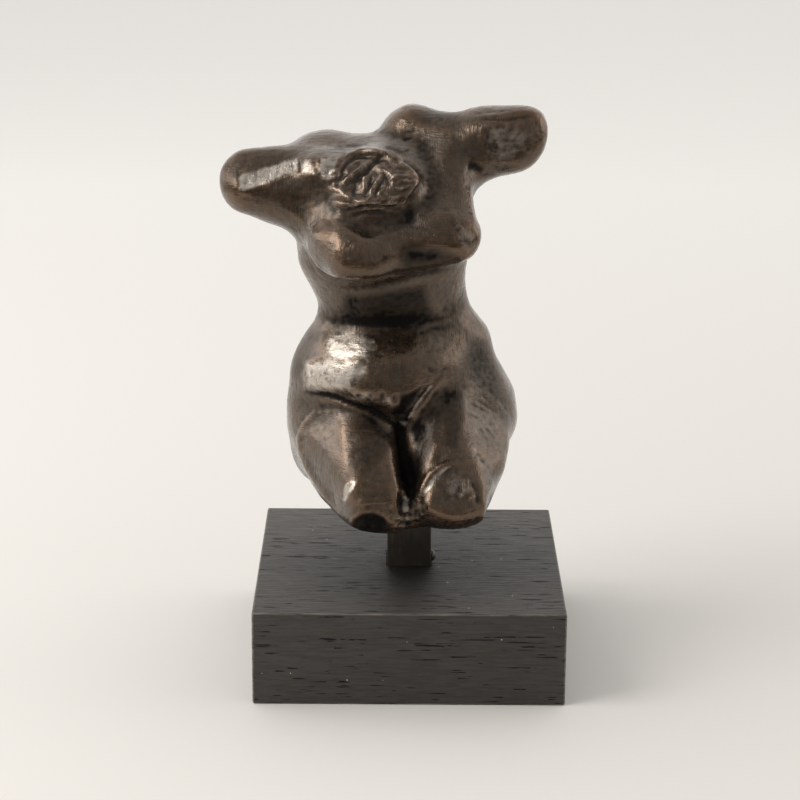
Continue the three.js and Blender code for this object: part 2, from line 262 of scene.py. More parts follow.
@dataclass(frozen=True)
class StainedHardwood:
    """Planed open-pored hardwood, stained black and left matt.

    The stain gives the eye a soft charcoal, with paler streaks along the grain where the light rakes across
    it and short black dashes where the open pores are. The top is seen nearly edge-on, where real pores are
    too fine to show, so they are drawn wider across it than they are down the front.
    """

    stain: str = "#3d3a37"
    streak: str = "#45413e"
    # Black of the open pores, also the colour of the painted shade round the post.
    pore: str = "#0b0a0a"
    rubbed: str = "#7a756e"
    dust: str = "#c9c4bb"
    roughness: float = 0.42
    pore_dulling: float = 0.3
    grain_dulling: float = 0.12
    sheen: float = 0.32
    lean: Point = (0.0, 0.012, 0.02)
    grain: Point = (46.0, 2.2, 5.0)
    grain_depth: float = 0.46
    pores: Point = (18.0, 1.4, 0.5)
    pore_crowding: float = 0.62
    pore_depth: float = 0.16
    bunches: Point = (50.0, 8.0, 11.0)
    speck_spacing: float = 8.0
    speck_radius: float = 0.256
    # Painted shade under the figure: where it starts, where it is full, and how dark.
    far_from_post: float = 62.0
    near_post: float = 18.0
    deepening: float = 0.85

    def material(self) -> bpy.types.Material:
        """Builds the stained wood, with its grain along X.

        Returns:
            The material, which reads the block's own "arris" attribute.
        """
        material, add = new_material("stained_hardwood_black")
        place = add("TexCoord", output="Object")
        in_mm = add("VectorMath", {0: place, "Scale": 1 / MM}, operation="SCALE")
        arris = add("Attribute", output="Fac", attribute_name="arris")
        grain = self._streaks(add, in_mm, self.grain, 4.0)
        bunches = self._streaks(add, in_mm, self.bunches, 2.0)

        streak = add("MapRange", {"Value": grain, "From Min": 0.42, "From Max": 0.6})
        tint = add("Mix", {0: streak, 6: linear(self.stain), 7: linear(self.streak)}, 2, data_type="RGBA")

        # Open pores show as black dashes, which lie in bunches.
        pores = self._along(add, in_mm, self.pores)
        pores = add("TexVoronoi", {"Vector": pores, "Scale": self.pore_crowding})
        pores = add("MapRange", {"Value": pores, "From Min": 0.42, "From Max": 0.3})
        bunches = add("MapRange", {"Value": bunches, "From Min": 0.55, "From Max": 0.59})
        dashes = add("Math", {0: pores, 1: bunches}, operation="MULTIPLY")
        tint = add("Mix", {0: dashes, 6: tint, 7: linear(self.pore)}, 2, data_type="RGBA")

        # The stain is rubbed thin on the arrises, along the lines of the grain.
        thin = add("MapRange", {"Value": grain, "From Min": 0.35, "From Max": 0.6})
        thin = add("Math", {0: arris, 1: thin}, operation="MULTIPLY")
        tint = add("Mix", {0: thin, 6: tint, 7: linear(self.rubbed)}, 2, data_type="RGBA")

        # Painted shade: the stain darkens round the post, under the figure.
        level = add("VectorMath", {0: in_mm, 1: (1, 1, 0)}, operation="MULTIPLY")
        away = add("VectorMath", {0: level}, "Value", operation="LENGTH")
        reach = {"From Min": self.far_from_post, "From Max": self.near_post, "To Max": self.deepening}
        deep = add("MapRange", {"Value": away} | reach)
        tint = add("Mix", {0: deep, 6: tint, 7: linear(self.pore)}, 2, data_type="RGBA")

        # A few specks of dust lie on it.
        specks = add("TexVoronoi", {"Vector": in_mm, "Scale": 1 / self.speck_spacing})
        specks = add("Math", {0: specks, 1: self.speck_radius / self.speck_spacing}, operation="LESS_THAN")
        tint = add("Mix", {0: specks, 6: tint, 7: linear(self.dust)}, 2, data_type="RGBA")

        height = add("Math", {0: grain, 1: self.grain_depth}, operation="MULTIPLY")
        height = add("Math", {0: dashes, 1: -self.pore_depth, 2: height}, operation="MULTIPLY_ADD")
        bump = add("Bump", {"Height": height, "Distance": MM, "Strength": 1.0})
        duller = {"To Min": self.roughness, "To Max": self.roughness + self.grain_dulling}
        rough = add("MapRange", {"Value": grain, "From Min": 0.58, "From Max": 0.42} | duller)
        rough = add("Math", {0: dashes, 1: self.pore_dulling, 2: rough}, operation="MULTIPLY_ADD")
        sockets = {"Base Color": tint, "Roughness": rough, "Specular IOR Level": self.sheen, "Normal": bump}
        add("OutputMaterial", {"Surface": add("BsdfPrincipled", sockets | {"Metallic": 0.0, "IOR": 1.5})})
        return material

    def _along(self, add: Adder, in_mm: Socket, size: Point) -> Socket:
        """Stretches a pattern along the grain, which leans a little.

        Args:
            add: Adds a node to the material.
            in_mm: The place on the block in millimetres.
            size: The pattern's size along the grain, across the top and down the front, in millimetres.

        Returns:
            The place that the pattern reads.
        """
        per_mm = tuple(1 / length for length in size)
        return add("Mapping", {"Vector": in_mm, "Rotation": self.lean, "Scale": per_mm})

    def _streaks(self, add: Adder, in_mm: Socket, size: Point, detail: float) -> Socket:
        """Adds a noise drawn out along the grain.

        Args:
            add: Adds a node to the material.
            in_mm: The place on the block in millimetres.
            size: Its size along the grain, across the top and down the front, in millimetres.
            detail: How many finer layers it has.

        Returns:
            The noise's value.
        """
        return add("TexNoise", {"Vector": self._along(add, in_mm, size), "Detail": detail, "Roughness": 0.6})


@dataclass(frozen=True)
class BlackenedSteel:
    """Mild steel bar, blackened in hot oil and waxed.

    The black oxide gives the eye a deep black with a soft sheen, and bare grey metal shows faintly in the
    mill lines along the bar.
    """

    black: str = "#47423c"
    worn: str = "#6c665f"
    metallic: float = 0.5
    roughness: float = 0.3
    line_width: float = 0.35
    line_length: float = 20.0
    line_depth: float = 0.03
    blot_size: float = 10 / 3
    blot_dulling: float = 0.15

    def material(self) -> bpy.types.Material:
        """Builds the blackened steel, with its mill lines along Z.

        Returns:
            The material.
        """
        material, add = new_material("blackened_steel_waxed")
        place = add("TexCoord", output="Object")
        in_mm = add("VectorMath", {0: place, "Scale": 1 / MM}, operation="SCALE")
        per_mm = (1 / self.line_width, 1 / self.line_width, 1 / self.line_length)
        lines = add("Mapping", {"Vector": in_mm, "Scale": per_mm})
        lines = add("TexNoise", {"Vector": lines, "Scale": 1.0, "Detail": 4.0})
        blots = add("TexNoise", {"Vector": in_mm, "Scale": 1 / self.blot_size, "Detail": 4.0})
        bare = add("MapRange", {"Value": lines, "From Min": 0.5, "From Max": 0.75})
        wear = add("MapRange", {"Value": blots, "From Min": 0.4, "From Max": 0.65})
        wear = add("Math", {0: bare, 1: wear}, operation="MULTIPLY")
        tint = add("Mix", {0: wear, 6: linear(self.black), 7: linear(self.worn)}, 2, data_type="RGBA")
        bump = add("Bump", {"Height": lines, "Distance": self.line_depth * MM, "Strength": 1.0})
        rough = add("Math", {0: blots, 1: self.blot_dulling, 2: self.roughness}, operation="MULTIPLY_ADD")
        sockets = {"Base Color": tint, "Metallic": self.metallic, "Roughness": rough, "Normal": bump}
        add("OutputMaterial", {"Surface": add("BsdfPrincipled", sockets)})
        return material


@dataclass(frozen=True)
class PaleFloor:
    """Matt paper, warm and pale; painted light brightens it further back, and a painted dark reflection
    darkens it in front where the bronze mirrors it.
    """

    paper: str = "#e6e4e0"
    # Painted light: the paper brightens towards the back.
    far_paper: str = "#fffefb"
    sweep: tuple[float, float] = (0.1, 0.9)
    # Painted dark reflection, which only the bronze's mirrored rays see in front.
    beyond: str = "#6a655e"
    edge: tuple[float, float] = (-0.2, -0.42)
    roughness: float = 0.9
    sheen: float = 0.1

    def material(self) -> bpy.types.Material:
        """Builds the paper.

        Returns:
            The material.
        """
        material, add = new_material("pale_paper")
        depth = add("SeparateXYZ", {0: add("TexCoord", output="Object")}, "Y")
        # Painted light: brighter further back.
        far = add("MapRange", {"Value": depth, "From Min": self.sweep[0], "From Max": self.sweep[1]})
        tint = add("Mix", {0: far, 6: linear(self.paper), 7: linear(self.far_paper)}, 2, data_type="RGBA")
        # Painted dark reflection: in front, the bronze's mirrored rays see dark paper.
        front = add("MapRange", {"Value": depth, "From Min": self.edge[0], "From Max": self.edge[1]})
        mirrored = add("LightPath", output="Is Glossy Ray")
        front = add("Math", {0: front, 1: mirrored}, operation="MULTIPLY")
        tint = add("Mix", {0: front, 6: tint, 7: linear(self.beyond)}, 2, data_type="RGBA")
        sockets = {"Base Color": tint, "Roughness": self.roughness, "Specular IOR Level": self.sheen}
        add("OutputMaterial", {"Surface": add("BsdfPrincipled", sockets)})
        return material


@dataclass(frozen=True)
class Sight:
    """The camera's place and lens, worked out from the block's corners in the picture."""

    eye: Point = (-5.62, -920.15, 384.48)
    pitch: float = 16.946
    yaw: float = 0.0999
    roll: float = 0.3926
    focal: float = 2434.28
    middle: float = 400.0
    sensor: float = 36.0

    def axes(self) -> tuple[np.ndarray, np.ndarray, np.ndarray]:
        """Gives the camera's directions.

        Returns:
            Unit vectors to its right, up and forward.
        """
        pitch, yaw, roll = np.radians([self.pitch, self.yaw, self.roll])
        forward = np.array([np.sin(yaw) * np.cos(pitch), np.cos(yaw) * np.cos(pitch), -np.sin(pitch)])
        level = np.array([np.cos(yaw), -np.sin(yaw), 0.0])
        upright = np.cross(level, forward)
        right = level * np.cos(roll) + upright * np.sin(roll)
        up = upright * np.cos(roll) - level * np.sin(roll)
        return right, up, forward

    def spots(self, points: np.ndarray) -> np.ndarray:
        """Finds where points show in the picture.

        Args:
            points: World points in millimetres, one a row.

        Returns:
            Their places in the 800 x 800 picture, one a row.
        """
        right, up, forward = self.axes()
        away = points - np.array(self.eye)
        depth = away @ forward
        across = self.middle + self.focal * (away @ right) / depth
        down = self.middle - self.focal * (away @ up) / depth
        return np.stack([across, down], axis=1)

    def camera(self) -> bpy.types.Object:
        """Makes the camera.

        Returns:
            The scene's camera.
        """
        right, up, forward = self.axes()
        data = bpy.data.cameras.new("camera")
        data.sensor_width = self.sensor
        data.lens = self.focal * self.sensor / (2 * self.middle)
        data.clip_start = 0.01
        data.clip_end = 50
        camera = bpy.data.objects.new("camera", data)
        turn = Matrix([right, up, -forward]).transposed().to_4x4()
        camera.matrix_world = Matrix.Translation(Vector(self.eye) * MM) @ turn
        bpy.context.scene.collection.objects.link(camera)
        bpy.context.scene.camera = camera
        return camera


class Tool(Enum):
    """What a modeller's mark does to the skin."""

    GROOVE = "presses a valley along the path"
    RIDGE = "raises a rounded line along the path"


@dataclass(frozen=True)
class Mark:
    """One stroke of a tool, seen from the camera.

    path holds places in the picture, width is the stroke's half width in picture units and depth is in
    millimetres.
    """

    tool: Tool
    path: Sequence[Spot]
    width: float
    depth: float


@dataclass(frozen=True)
class Facet:
    """A flat that a knife or paddle left, seen from the camera.

    outline holds its corners in the picture, in order, share is how far the skin is pressed to the flat, soft
    is the width of its rim in picture units and lift moves the flat outwards in millimetres.
    """

    outline: Sequence[Spot]
    share: float = 0.4
    soft: float = 8.0
    lift: float = 0.0


@dataclass(frozen=True)
class Patch:
    """A stretch of the skin that is melted smooth, painted with highlight, or painted with shade over black
    patina, seen from the camera.

    outline holds its corners in the picture, in order, and soft is the width of its rim in picture units.
    """

    outline: Sequence[Spot]
    strength: float = 1.0
    soft: float = 5.0


@dataclass(frozen=True)
class Smear:
    """A wisp of painted highlight and rubbed patina along a path in the picture, with its half width in
    picture units.
    """

    path: Sequence[Spot]
    width: float
    strength: float


@dataclass(frozen=True)
class Zone:
    """A ball in clay coordinates that keeps marks on the form they belong to."""

    centre: Point
    radius: float


@dataclass(frozen=True)
class Pull:
    """A push of the thumb that shifts the clay in a zone, in millimetres."""

    zone: Zone
    way: Point


@dataclass(frozen=True)
class Swell:
    """An unevenness that hands and tools leave in the clay, within its zone.

    width and height are its size in millimetres, and start is where in the noise it begins.
    """

    width: float
    height: float
    start: Point
    zone: Zone | None = None


@dataclass(frozen=True)
class Stain:
    """How strongly relief changes the patina, and the height in millimetres that changes it in full."""

    strength: float
    full: float

    def of(self, relief: np.ndarray) -> np.ndarray:
        """Gives the change at each point for its height above the skin round it."""
        return self.strength * np.clip(relief / self.full, 0, 1)


def strokes(tool: Tool, width: float, depth: float, *paths: Sequence[Spot]) -> list[Mark]:
    """Makes several marks with one tool.

    Args:
        tool: The tool.
        width: Each stroke's half width in picture units.
        depth: Each stroke's depth in millimetres.
        paths: The strokes' paths.

    Returns:
        The marks.
    """
    return [Mark(tool, path, width, depth) for path in paths]


GROOVE, RIDGE = Tool.GROOVE, Tool.RIDGE

# Flats on both arm stumps, and the nicks and seams on them and the shoulders.
ARM_FACETS = [
    Facet([(236, 176), (268, 166), (298, 157), (299, 172), (283, 178), (262, 188), (246, 195),
        (239, 190)], 0.48, 5.4),
    Facet([(300, 157), (313, 158), (319, 178), (301, 175)], 0.42, 5.4),
    Facet([(321, 158), (341, 156), (339, 170), (332, 181), (322, 182), (319, 170)], 0.42, 5.4),
    Facet([(240, 198), (285, 184), (330, 186), (332, 225), (300, 225), (262, 212)], 0.24, 14.4),
    Facet([(482, 128), (492, 122), (505, 121), (522, 125), (533, 135), (530, 150), (515, 161), (500, 166),
        (486, 160), (481, 146)], 0.51, 6.3),
    Facet([(440, 112), (480, 108), (525, 105), (535, 114), (480, 119), (445, 120)], 0.36, 7.2),
    Facet([(425, 165), (465, 150), (470, 170), (455, 195), (430, 205), (420, 190)], 0.3, 12.6),
]
ARM_MARKS = [
    *strokes(GROOVE, 1.6, 0.35, [(314, 156), (315, 166), (318, 175)], [(298, 159), (300, 167), (299, 174)]),
    *strokes(GROOVE, 1.2, 0.21, [(320, 153), (322, 162)], [(291, 167), (299, 163)], [(309, 158), (314, 162)]),
    *strokes(GROOVE, 1.3, 0.17, [(246, 183), (250, 184)], [(256, 184), (261, 185)], [(243, 162), (250, 161)]),
    *strokes(GROOVE, 1.2, 0.14, [(250, 168), (266, 164)], [(275, 178), (282, 175)], [(303, 172), (306, 175)]),
    *strokes(RIDGE, 2.0, 0.24, [(236, 176), (238, 188), (245, 196)], [(299, 172), (283, 178), (262, 188)]),
    *strokes(GROOVE, 1.4, 0.28, [(485, 126), (487, 138), (485, 150)], [(489, 128), (490, 140), (489, 151)]),
    *strokes(RIDGE, 1.6, 0.24, [(481, 128), (481, 142), (484, 152)], [(494, 128), (496, 140), (495, 146)]),
    *strokes(GROOVE, 2.0, 0.32, [(470, 121), (486, 119), (505, 120), (525, 117), (538, 117)]),
    *strokes(GROOVE, 1.3, 0.15, [(476, 114), (492, 112), (512, 111)], [(495, 116), (520, 113)],
        [(505, 124), (520, 124)]),
    *strokes(GROOVE, 1.4, 0.14, [(540, 118), (546, 130), (545, 146)], [(536, 122), (541, 134), (540, 148)]),
    *strokes(GROOVE, 6.0, 0.63, [(466, 166), (475, 167), (484, 172)]),
    *strokes(GROOVE, 1.4, 0.17, [(480, 177), (487, 174), (497, 175)], [(500, 152), (520, 155)],
        [(505, 172), (520, 168)]),
    *strokes(GROOVE, 1.6, 0.21, [(340, 147), (365, 145), (400, 147)], [(355, 150), (380, 147), (408, 150)]),
    *strokes(GROOVE, 1.3, 0.21, [(402, 140), (412, 138)], [(405, 132), (420, 130)], [(395, 152), (410, 150)]),
]
# The neck's torn rim, the folds inside it and the creases below it.
NECK_MARKS = [
    *strokes(RIDGE, 2.6, 1.0, [(338, 182), (338, 171), (343, 162), (350, 155), (360, 151), (373, 151),
        (384, 153), (391, 159), (396, 166)]),
    *strokes(GROOVE, 3.4, 1.3, [(341, 181), (341, 170), (346, 162), (354, 156), (364, 155), (376, 157)]),
    *strokes(RIDGE, 2.0, 1.1, [(343, 182), (352, 176), (361, 169), (368, 163)]),
    *strokes(GROOVE, 2.8, 1.2, [(350, 183), (360, 176), (368, 169), (374, 162), (381, 157), (388, 161)]),
    *strokes(RIDGE, 3.2, 0.7, [(375, 167), (384, 169), (391, 175), (396, 178)]),
    *strokes(RIDGE, 1.9, 1.0, [(361, 178), (368, 177)], [(365, 178), (364, 184), (366, 192)]),
    *strokes(RIDGE, 1.9, 1.1, [(382, 173), (379, 180), (374, 186), (371, 192), (371, 199)]),
    *strokes(GROOVE, 2.2, 0.9, [(373, 177), (369, 186), (367, 195)], [(381, 184), (377, 190), (375, 197)]),
    *strokes(GROOVE, 1.8, 0.6, [(385, 173), (389, 180), (389, 187)], [(353, 192), (360, 194), (368, 196)]),
    *strokes(RIDGE, 1.5, 0.9, [(391, 180), (396, 177)], [(349, 195), (351, 200)],
        [(367, 199), (370, 198)], [(377, 194), (381, 191)]),
    *strokes(GROOVE, 8.0, 0.9, [(352, 187), (358, 189)]),
    *strokes(RIDGE, 2.2, 0.7, [(329, 189), (340, 190), (348, 198), (360, 202), (374, 202), (386, 199)]),
    *strokes(GROOVE, 1.6, 0.7, [(334, 199), (344, 202), (355, 203)], [(372, 203), (380, 203), (389, 201)]),
    *strokes(GROOVE, 2.0, 1.1, [(342, 210), (355, 209), (372, 206), (386, 208), (400, 207)]),
    *strokes(GROOVE, 2.4, 0.8, [(350, 217), (364, 213), (380, 213), (392, 212)]),
    *strokes(GROOVE, 6.0, 0.4, [(336, 219), (350, 214), (368, 212), (388, 213)]),
    *strokes(RIDGE, 2.0, 0.7, [(398, 162), (406, 165), (413, 171), (419, 178)],
        [(419, 180), (412, 190), (405, 200), (398, 206)]),
    *strokes(GROOVE, 3.0, 0.9, [(403, 158), (413, 165), (421, 174)], [(421, 184), (414, 193), (407, 203)]),
    *strokes(GROOVE, 1.3, 0.5, [(398, 173), (408, 173)], [(399, 177), (412, 178)],
        [(392, 186), (403, 184), (418, 182)]),
    *strokes(GROOVE, 1.3, 0.5, [(393, 190), (402, 191), (411, 189)], [(391, 195), (404, 192)],
        [(393, 201), (405, 199)]),
    *strokes(GROOVE, 1.3, 0.45, [(397, 169), (410, 170)], [(396, 205), (403, 203)], [(407, 180), (417, 176)]),
    *strokes(GROOVE, 2.4, 0.9, [(393, 158), (398, 164)]),
    *strokes(GROOVE, 1.3, 0.6, [(332, 180), (331, 187)], [(338, 178), (338, 188)], [(335, 181), (335, 186)]),
    *strokes(RIDGE, 1.4, 0.5, [(330, 175), (339, 168)], [(332, 179), (341, 173)], [(333, 183), (335, 190)]),
]
# Flats on the breasts and ribs, the folds under them and the scratches round them.
BUST_FACETS = [
    Facet([(304, 235), (336, 230), (340, 252), (343, 273), (329, 279), (316, 268), (308, 250)], 0.2, 9),
    Facet([(341, 226), (398, 220), (400, 262), (372, 265), (346, 274), (342, 252)], 0.2, 10.8),
    Facet([(400, 226), (448, 230), (455, 248), (402, 245)], 0.14, 10.8),
    Facet([(402, 246), (452, 250), (456, 262), (425, 269), (403, 268)], 0.1, 14, -0.4),
    Facet([(360, 290), (420, 285), (430, 302), (446, 314), (425, 320), (400, 325), (362, 324),
        (355, 305)], 0.22, 10.8),
    Facet([(430, 285), (456, 276), (452, 304), (436, 303)], 0.18, 9),
    Facet([(322, 285), (352, 290), (354, 322), (332, 322), (324, 305)], 0.14, 10.8),
    Facet([(445, 190), (462, 190), (468, 205), (455, 228), (444, 205)], 0.18, 7.2),
]
BUST_MARKS = [
    *strokes(RIDGE, 2.4, 0.3, [(300, 232), (306, 244), (311, 258), (319, 271), (330, 281)]),
    *strokes(RIDGE, 4.0, 0.25, [(338, 232), (341, 252), (344, 272)]),
    *strokes(GROOVE, 4.5, 0.65, [(332, 285), (348, 289), (370, 289), (398, 283), (424, 275), (452, 269),
        (464, 265)]),
    *strokes(RIDGE, 5.0, 0.3, [(378, 245), (392, 254), (398, 262)], [(405, 238), (430, 240), (452, 247)]),
    *strokes(GROOVE, 7.0, 0.4, [(405, 252), (420, 256), (440, 260)]),
    *strokes(GROOVE, 1.5, 0.17, [(452, 222), (459, 232), (464, 242)],
        [(458, 220), (466, 232), (470, 240)], [(470, 226), (475, 236), (477, 244)]),
    *strokes(RIDGE, 3.0, 0.25, [(447, 205), (458, 222), (466, 236)], [(468, 190), (472, 208), (476, 228)]),
    *strokes(GROOVE, 1.2, 0.09, [(321, 238), (337, 240)], [(321, 243), (336, 244)],
        [(322, 248), (337, 248)], [(323, 254), (336, 252)]),
    *strokes(GROOVE, 1.6, 0.12, [(400, 250), (410, 246), (422, 247)], [(343, 275), (352, 272)],
        [(338, 279), (346, 274)]),
    *strokes(GROOVE, 1.4, 0.15, [(350, 298), (352, 310)], [(356, 297), (356, 303)],
        [(354, 306), (360, 314)], [(340, 317), (350, 316)]),
    *strokes(RIDGE, 2.4, 0.17, [(456, 275), (457, 290), (453, 302)], [(437, 303), (440, 308), (436, 308)]),
    *strokes(GROOVE, 2.4, 0.15, [(352, 324), (375, 326), (400, 328), (416, 327), (427, 321), (440, 319),
        (452, 313)]),
    *strokes(GROOVE, 5.5, 0.45, [(345, 321), (375, 322), (405, 322), (430, 315), (450, 309)]),
    *strokes(RIDGE, 2.6, 0.15, [(402, 332), (418, 331), (428, 326), (442, 323)]),
]
# Flats on the belly and hips, the nicks between them and the creases of the groin.
BELLY_FACETS = [
    Facet([(331, 333), (369, 333), (371, 343), (368, 353), (360, 359), (334, 359), (326, 352)], 0.38, 6.3),
    Facet([(306, 363), (330, 357), (362, 360), (355, 378), (350, 391), (310, 390), (305, 378)], 0.36, 7.2),
    Facet([(296, 345), (325, 335), (325, 350), (306, 360), (302, 385), (292, 380)], 0.29, 7.2),
    Facet([(373, 334), (405, 333), (408, 352), (398, 366), (370, 364), (372, 350)], 0.29, 7.2),
    Facet([(410, 336), (450, 326), (466, 345), (456, 366), (425, 366), (411, 352)], 0.31, 9),
    Facet([(366, 366), (402, 368), (426, 369), (420, 382), (400, 386), (364, 382)], 0.29, 7.2),
    Facet([(352, 388), (398, 390), (396, 410), (380, 408), (358, 400)], 0.29, 7.2),
    Facet([(400, 392), (426, 386), (412, 404), (402, 414), (398, 404)], 0.34, 5.4, -0.6),
    Facet([(470, 335), (488, 350), (500, 380), (478, 376), (468, 358)], 0.24, 10.8),
]
BELLY_MARKS = [
    *strokes(RIDGE, 2.0, 0.24, [(331, 330), (327, 344), (321, 356), (307, 362), (305, 376), (306, 390)]),
    *strokes(GROOVE, 1.5, 0.27, [(369, 341), (376, 347)], [(370, 351), (378, 349), (386, 346)],
        [(373, 354), (382, 352), (392, 349)]),
    *strokes(GROOVE, 1.3, 0.21, [(353, 348), (358, 349)], [(374, 357), (384, 354)],
        [(367, 345), (373, 343)], [(371, 337), (380, 334)]),
    *strokes(GROOVE, 1.3, 0.15, [(335, 338), (345, 337)], [(352, 334), (365, 332)],
        [(381, 338), (392, 336)], [(349, 359), (356, 361)]),
    *strokes(GROOVE, 1.4, 0.12, [(418, 334), (430, 331)], [(422, 352), (440, 350)], [(360, 366), (372, 365)]),
    *strokes(GROOVE, 2.0, 0.3, [(425, 367), (432, 372), (440, 372), (450, 366)],
        [(444, 375), (430, 380), (418, 384), (404, 388)]),
    *strokes(RIDGE, 2.2, 0.36, [(352, 400), (361, 402), (368, 404)], [(376, 394), (374, 401), (378, 406)],
        [(388, 396), (391, 405)]),
    *strokes(RIDGE, 1.6, 0.36, [(397, 391), (404, 394)], [(365, 393), (368, 400)],
        [(402, 420), (406, 425)], [(384, 400), (385, 407)]),
    *strokes(GROOVE, 2.2, 0.36, [(370, 394), (371, 402)], [(382, 392), (382, 402)],
        [(394, 394), (396, 404)], [(360, 394), (362, 399)]),
    *strokes(GROOVE, 5.0, 0.72, [(404, 398), (402, 408), (395, 414)]),
    *strokes(GROOVE, 2.4, 0.9, [(306, 392), (320, 394), (334, 397), (346, 402), (358, 406), (370, 410),
        (382, 416), (393, 424), (401, 431)]),
    *strokes(RIDGE, 2.4, 0.36, [(318, 399), (336, 402), (350, 406), (366, 412), (378, 418), (388, 427)]),
    *strokes(GROOVE, 2.4, 0.5, [(438, 379), (429, 388), (420, 399), (413, 409), (407, 419), (403, 428)]),
    *strokes(RIDGE, 2.8, 0.54, [(442, 381), (434, 389), (425, 399), (417, 409), (411, 419), (406, 428)]),
    *strokes(GROOVE, 1.2, 0.24, [(394, 418), (402, 423)], [(390, 413), (400, 418)],
        [(399, 415), (408, 414)], [(403, 424), (408, 421)]),
]
# Flats on the thighs and their broken ends, the cleft between them and the breaks' rims.
THIGH_FACETS = [
    Facet([(302, 420), (313, 411), (339, 411), (346, 428), (351, 447), (350, 464), (342, 478), (328, 490),
        (308, 470), (300, 446)], 0.12, 9),
    Facet([(341, 411), (374, 415), (394, 430), (400, 448), (407, 475), (404, 489), (392, 488), (360, 480),
        (352, 462), (353, 446), (347, 427)], 0.12, 9),
    Facet([(348, 483), (358, 480), (357, 490), (350, 502), (343, 506), (342, 494)], 0.48, 4.5),
    Facet([(357, 487), (391, 490), (395, 512), (384, 514), (370, 511), (353, 516), (346, 511),
        (351, 499)], 0.45, 6.3),
    Facet([(410, 426), (431, 390), (443, 396), (441, 420), (440, 441), (434, 457), (424, 470), (417, 484),
        (412, 478), (408, 452)], 0.22, 6.3),
    Facet([(445, 392), (463, 392), (466, 411), (463, 431), (459, 447), (468, 458), (450, 461), (442, 451),
        (441, 425)], 0.22, 6.3),
    Facet([(425, 500), (433, 481), (441, 471), (456, 466), (475, 464), (485, 475), (489, 490), (486, 504),
        (468, 514), (440, 517), (426, 512)], 0.48, 7.2),
    Facet([(398, 492), (409, 497), (412, 514), (400, 520), (397, 508)], 0.36, 4.5, -0.8),
]
THIGH_MARKS = [
    *strokes(GROOVE, 7.0, 2.6, [(400, 428), (403, 442), (406, 458), (409, 473), (411, 488)]),
    *strokes(GROOVE, 3.0, 2.2, [(400, 427), (403, 442), (406, 457), (409, 472), (411, 486), (411, 497)]),
    *strokes(RIDGE, 2.6, 0.75, [(314, 413), (304, 424), (299, 439), (301, 455), (307, 468), (315, 481),
        (326, 497), (338, 512)]),
    *strokes(RIDGE, 2.0, 0.3, [(345, 503), (343, 494), (348, 485), (357, 480)]),
    *strokes(GROOVE, 2.2, 0.3, [(393, 486), (395, 500), (396, 515)]),
    *strokes(GROOVE, 10.0, 1.92, [(362, 527), (374, 525), (386, 530)]),
    *strokes(RIDGE, 2.0, 0.54, [(350, 529), (353, 520), (360, 514), (370, 511), (382, 515), (392, 523),
        (402, 529)]),
    *strokes(RIDGE, 2.2, 1.0, [(402, 488), (406, 496), (407, 506)], [(396, 518), (405, 515), (412, 519)],
        [(404, 508), (411, 512)]),
    *strokes(GROOVE, 1.8, 0.48, [(399, 497), (401, 508)], [(410, 500), (409, 511)], [(398, 523), (412, 524)]),
    *strokes(RIDGE, 3.4, 0.42, [(439, 441), (435, 452), (430, 464)]),
    *strokes(RIDGE, 3.8, 1.0, [(414, 508), (418, 496), (425, 483), (431, 474), (439, 468), (448, 464),
        (456, 463)]),
    *strokes(RIDGE, 2.4, 0.36, [(462, 462), (476, 462), (486, 471), (491, 484), (490, 500)]),
    *strokes(GROOVE, 9.0, 0.54, [(440, 498), (455, 494), (464, 484)]),
    *strokes(RIDGE, 2.0, 0.48, [(470, 502), (473, 495)], [(466, 478), (466, 490), (462, 498)]),
    *strokes(GROOVE, 2.6, 0.42, [(470, 480), (476, 490), (478, 503)], [(475, 499), (480, 504)]),
    *strokes(RIDGE, 1.8, 0.36, [(418, 508), (420, 502), (426, 501), (430, 506), (428, 513), (421, 514),
        (418, 508)]),
    *strokes(GROOVE, 2.2, 0.24, [(424, 507), (425, 508)]),
    *strokes(RIDGE, 2.6, 0.15, [(478, 389), (490, 397), (501, 409), (508, 422), (510, 436)]),
    *strokes(GROOVE, 1.5, 0.15, [(470, 403), (486, 411)], [(474, 398), (497, 413)],
        [(478, 424), (487, 440), (489, 452)]),
    *strokes(GROOVE, 1.5, 0.15, [(484, 425), (494, 438)], [(466, 412), (482, 420)], [(476, 452), (484, 463)]),
    *strokes(GROOVE, 1.6, 0.15, [(420, 455), (424, 440)], [(357, 452), (366, 446)],
        [(362, 478), (372, 476)], [(384, 460), (388, 470)]),
]

# Pushes on a thigh's inner side, both hips, the side of the chest and an arm's end.
PULLS = [
    Pull(Zone((33, -34, 17), 15), (-2.8, 0, 0)),
    Pull(Zone((38, 2, 33), 14), (1.4, 0, 0)),
    Pull(Zone((-42, 2, 14), 14), (-1.4, 0, -0.6)),
    Pull(Zone((26, -16, 131), 11), (-1.4, 0, 0)),
    Pull(Zone((-60, -13, 136), 15), (-0.8, 0, 0)),
]
# The hand's unevenness everywhere, and the tools', rougher on the neck and between the thighs.
HAND_SWELLS = [Swell(9.0, 0.35, (3, 5.1, -3))]
TOOL_SWELLS = [
    Swell(1.9, 0.1, (11, 18.7, -11)),
    Swell(1.4, 0.28, (5, 8.5, -5), Zone((-14, -37, 143), 16)),
    Swell(1.6, 0.5, (8, 13.6, -8), Zone((-1, -46, 15), 9)),
]
# Inner thighs, folds under bust and ribs, and upper chest, melted before any mark is made.
MELTED_PATCHES = [
    Patch([(338, 404), (357, 406), (362, 450), (356, 484), (340, 482), (345, 445)], 0.9, 6.0),
    Patch([(404, 432), (430, 395), (444, 400), (440, 440), (430, 462), (416, 478), (408, 470),
        (405, 450)], 1.0, 6.0),
    Patch([(338, 314), (400, 318), (455, 306), (455, 322), (400, 334), (340, 332)], 0.8, 6.0),
    Patch([(335, 276), (400, 277), (455, 262), (458, 272), (400, 290), (335, 292)], 0.5, 6.0),
    Patch([(335, 205), (400, 207), (405, 222), (340, 224)], 1.0, 6.0),
]
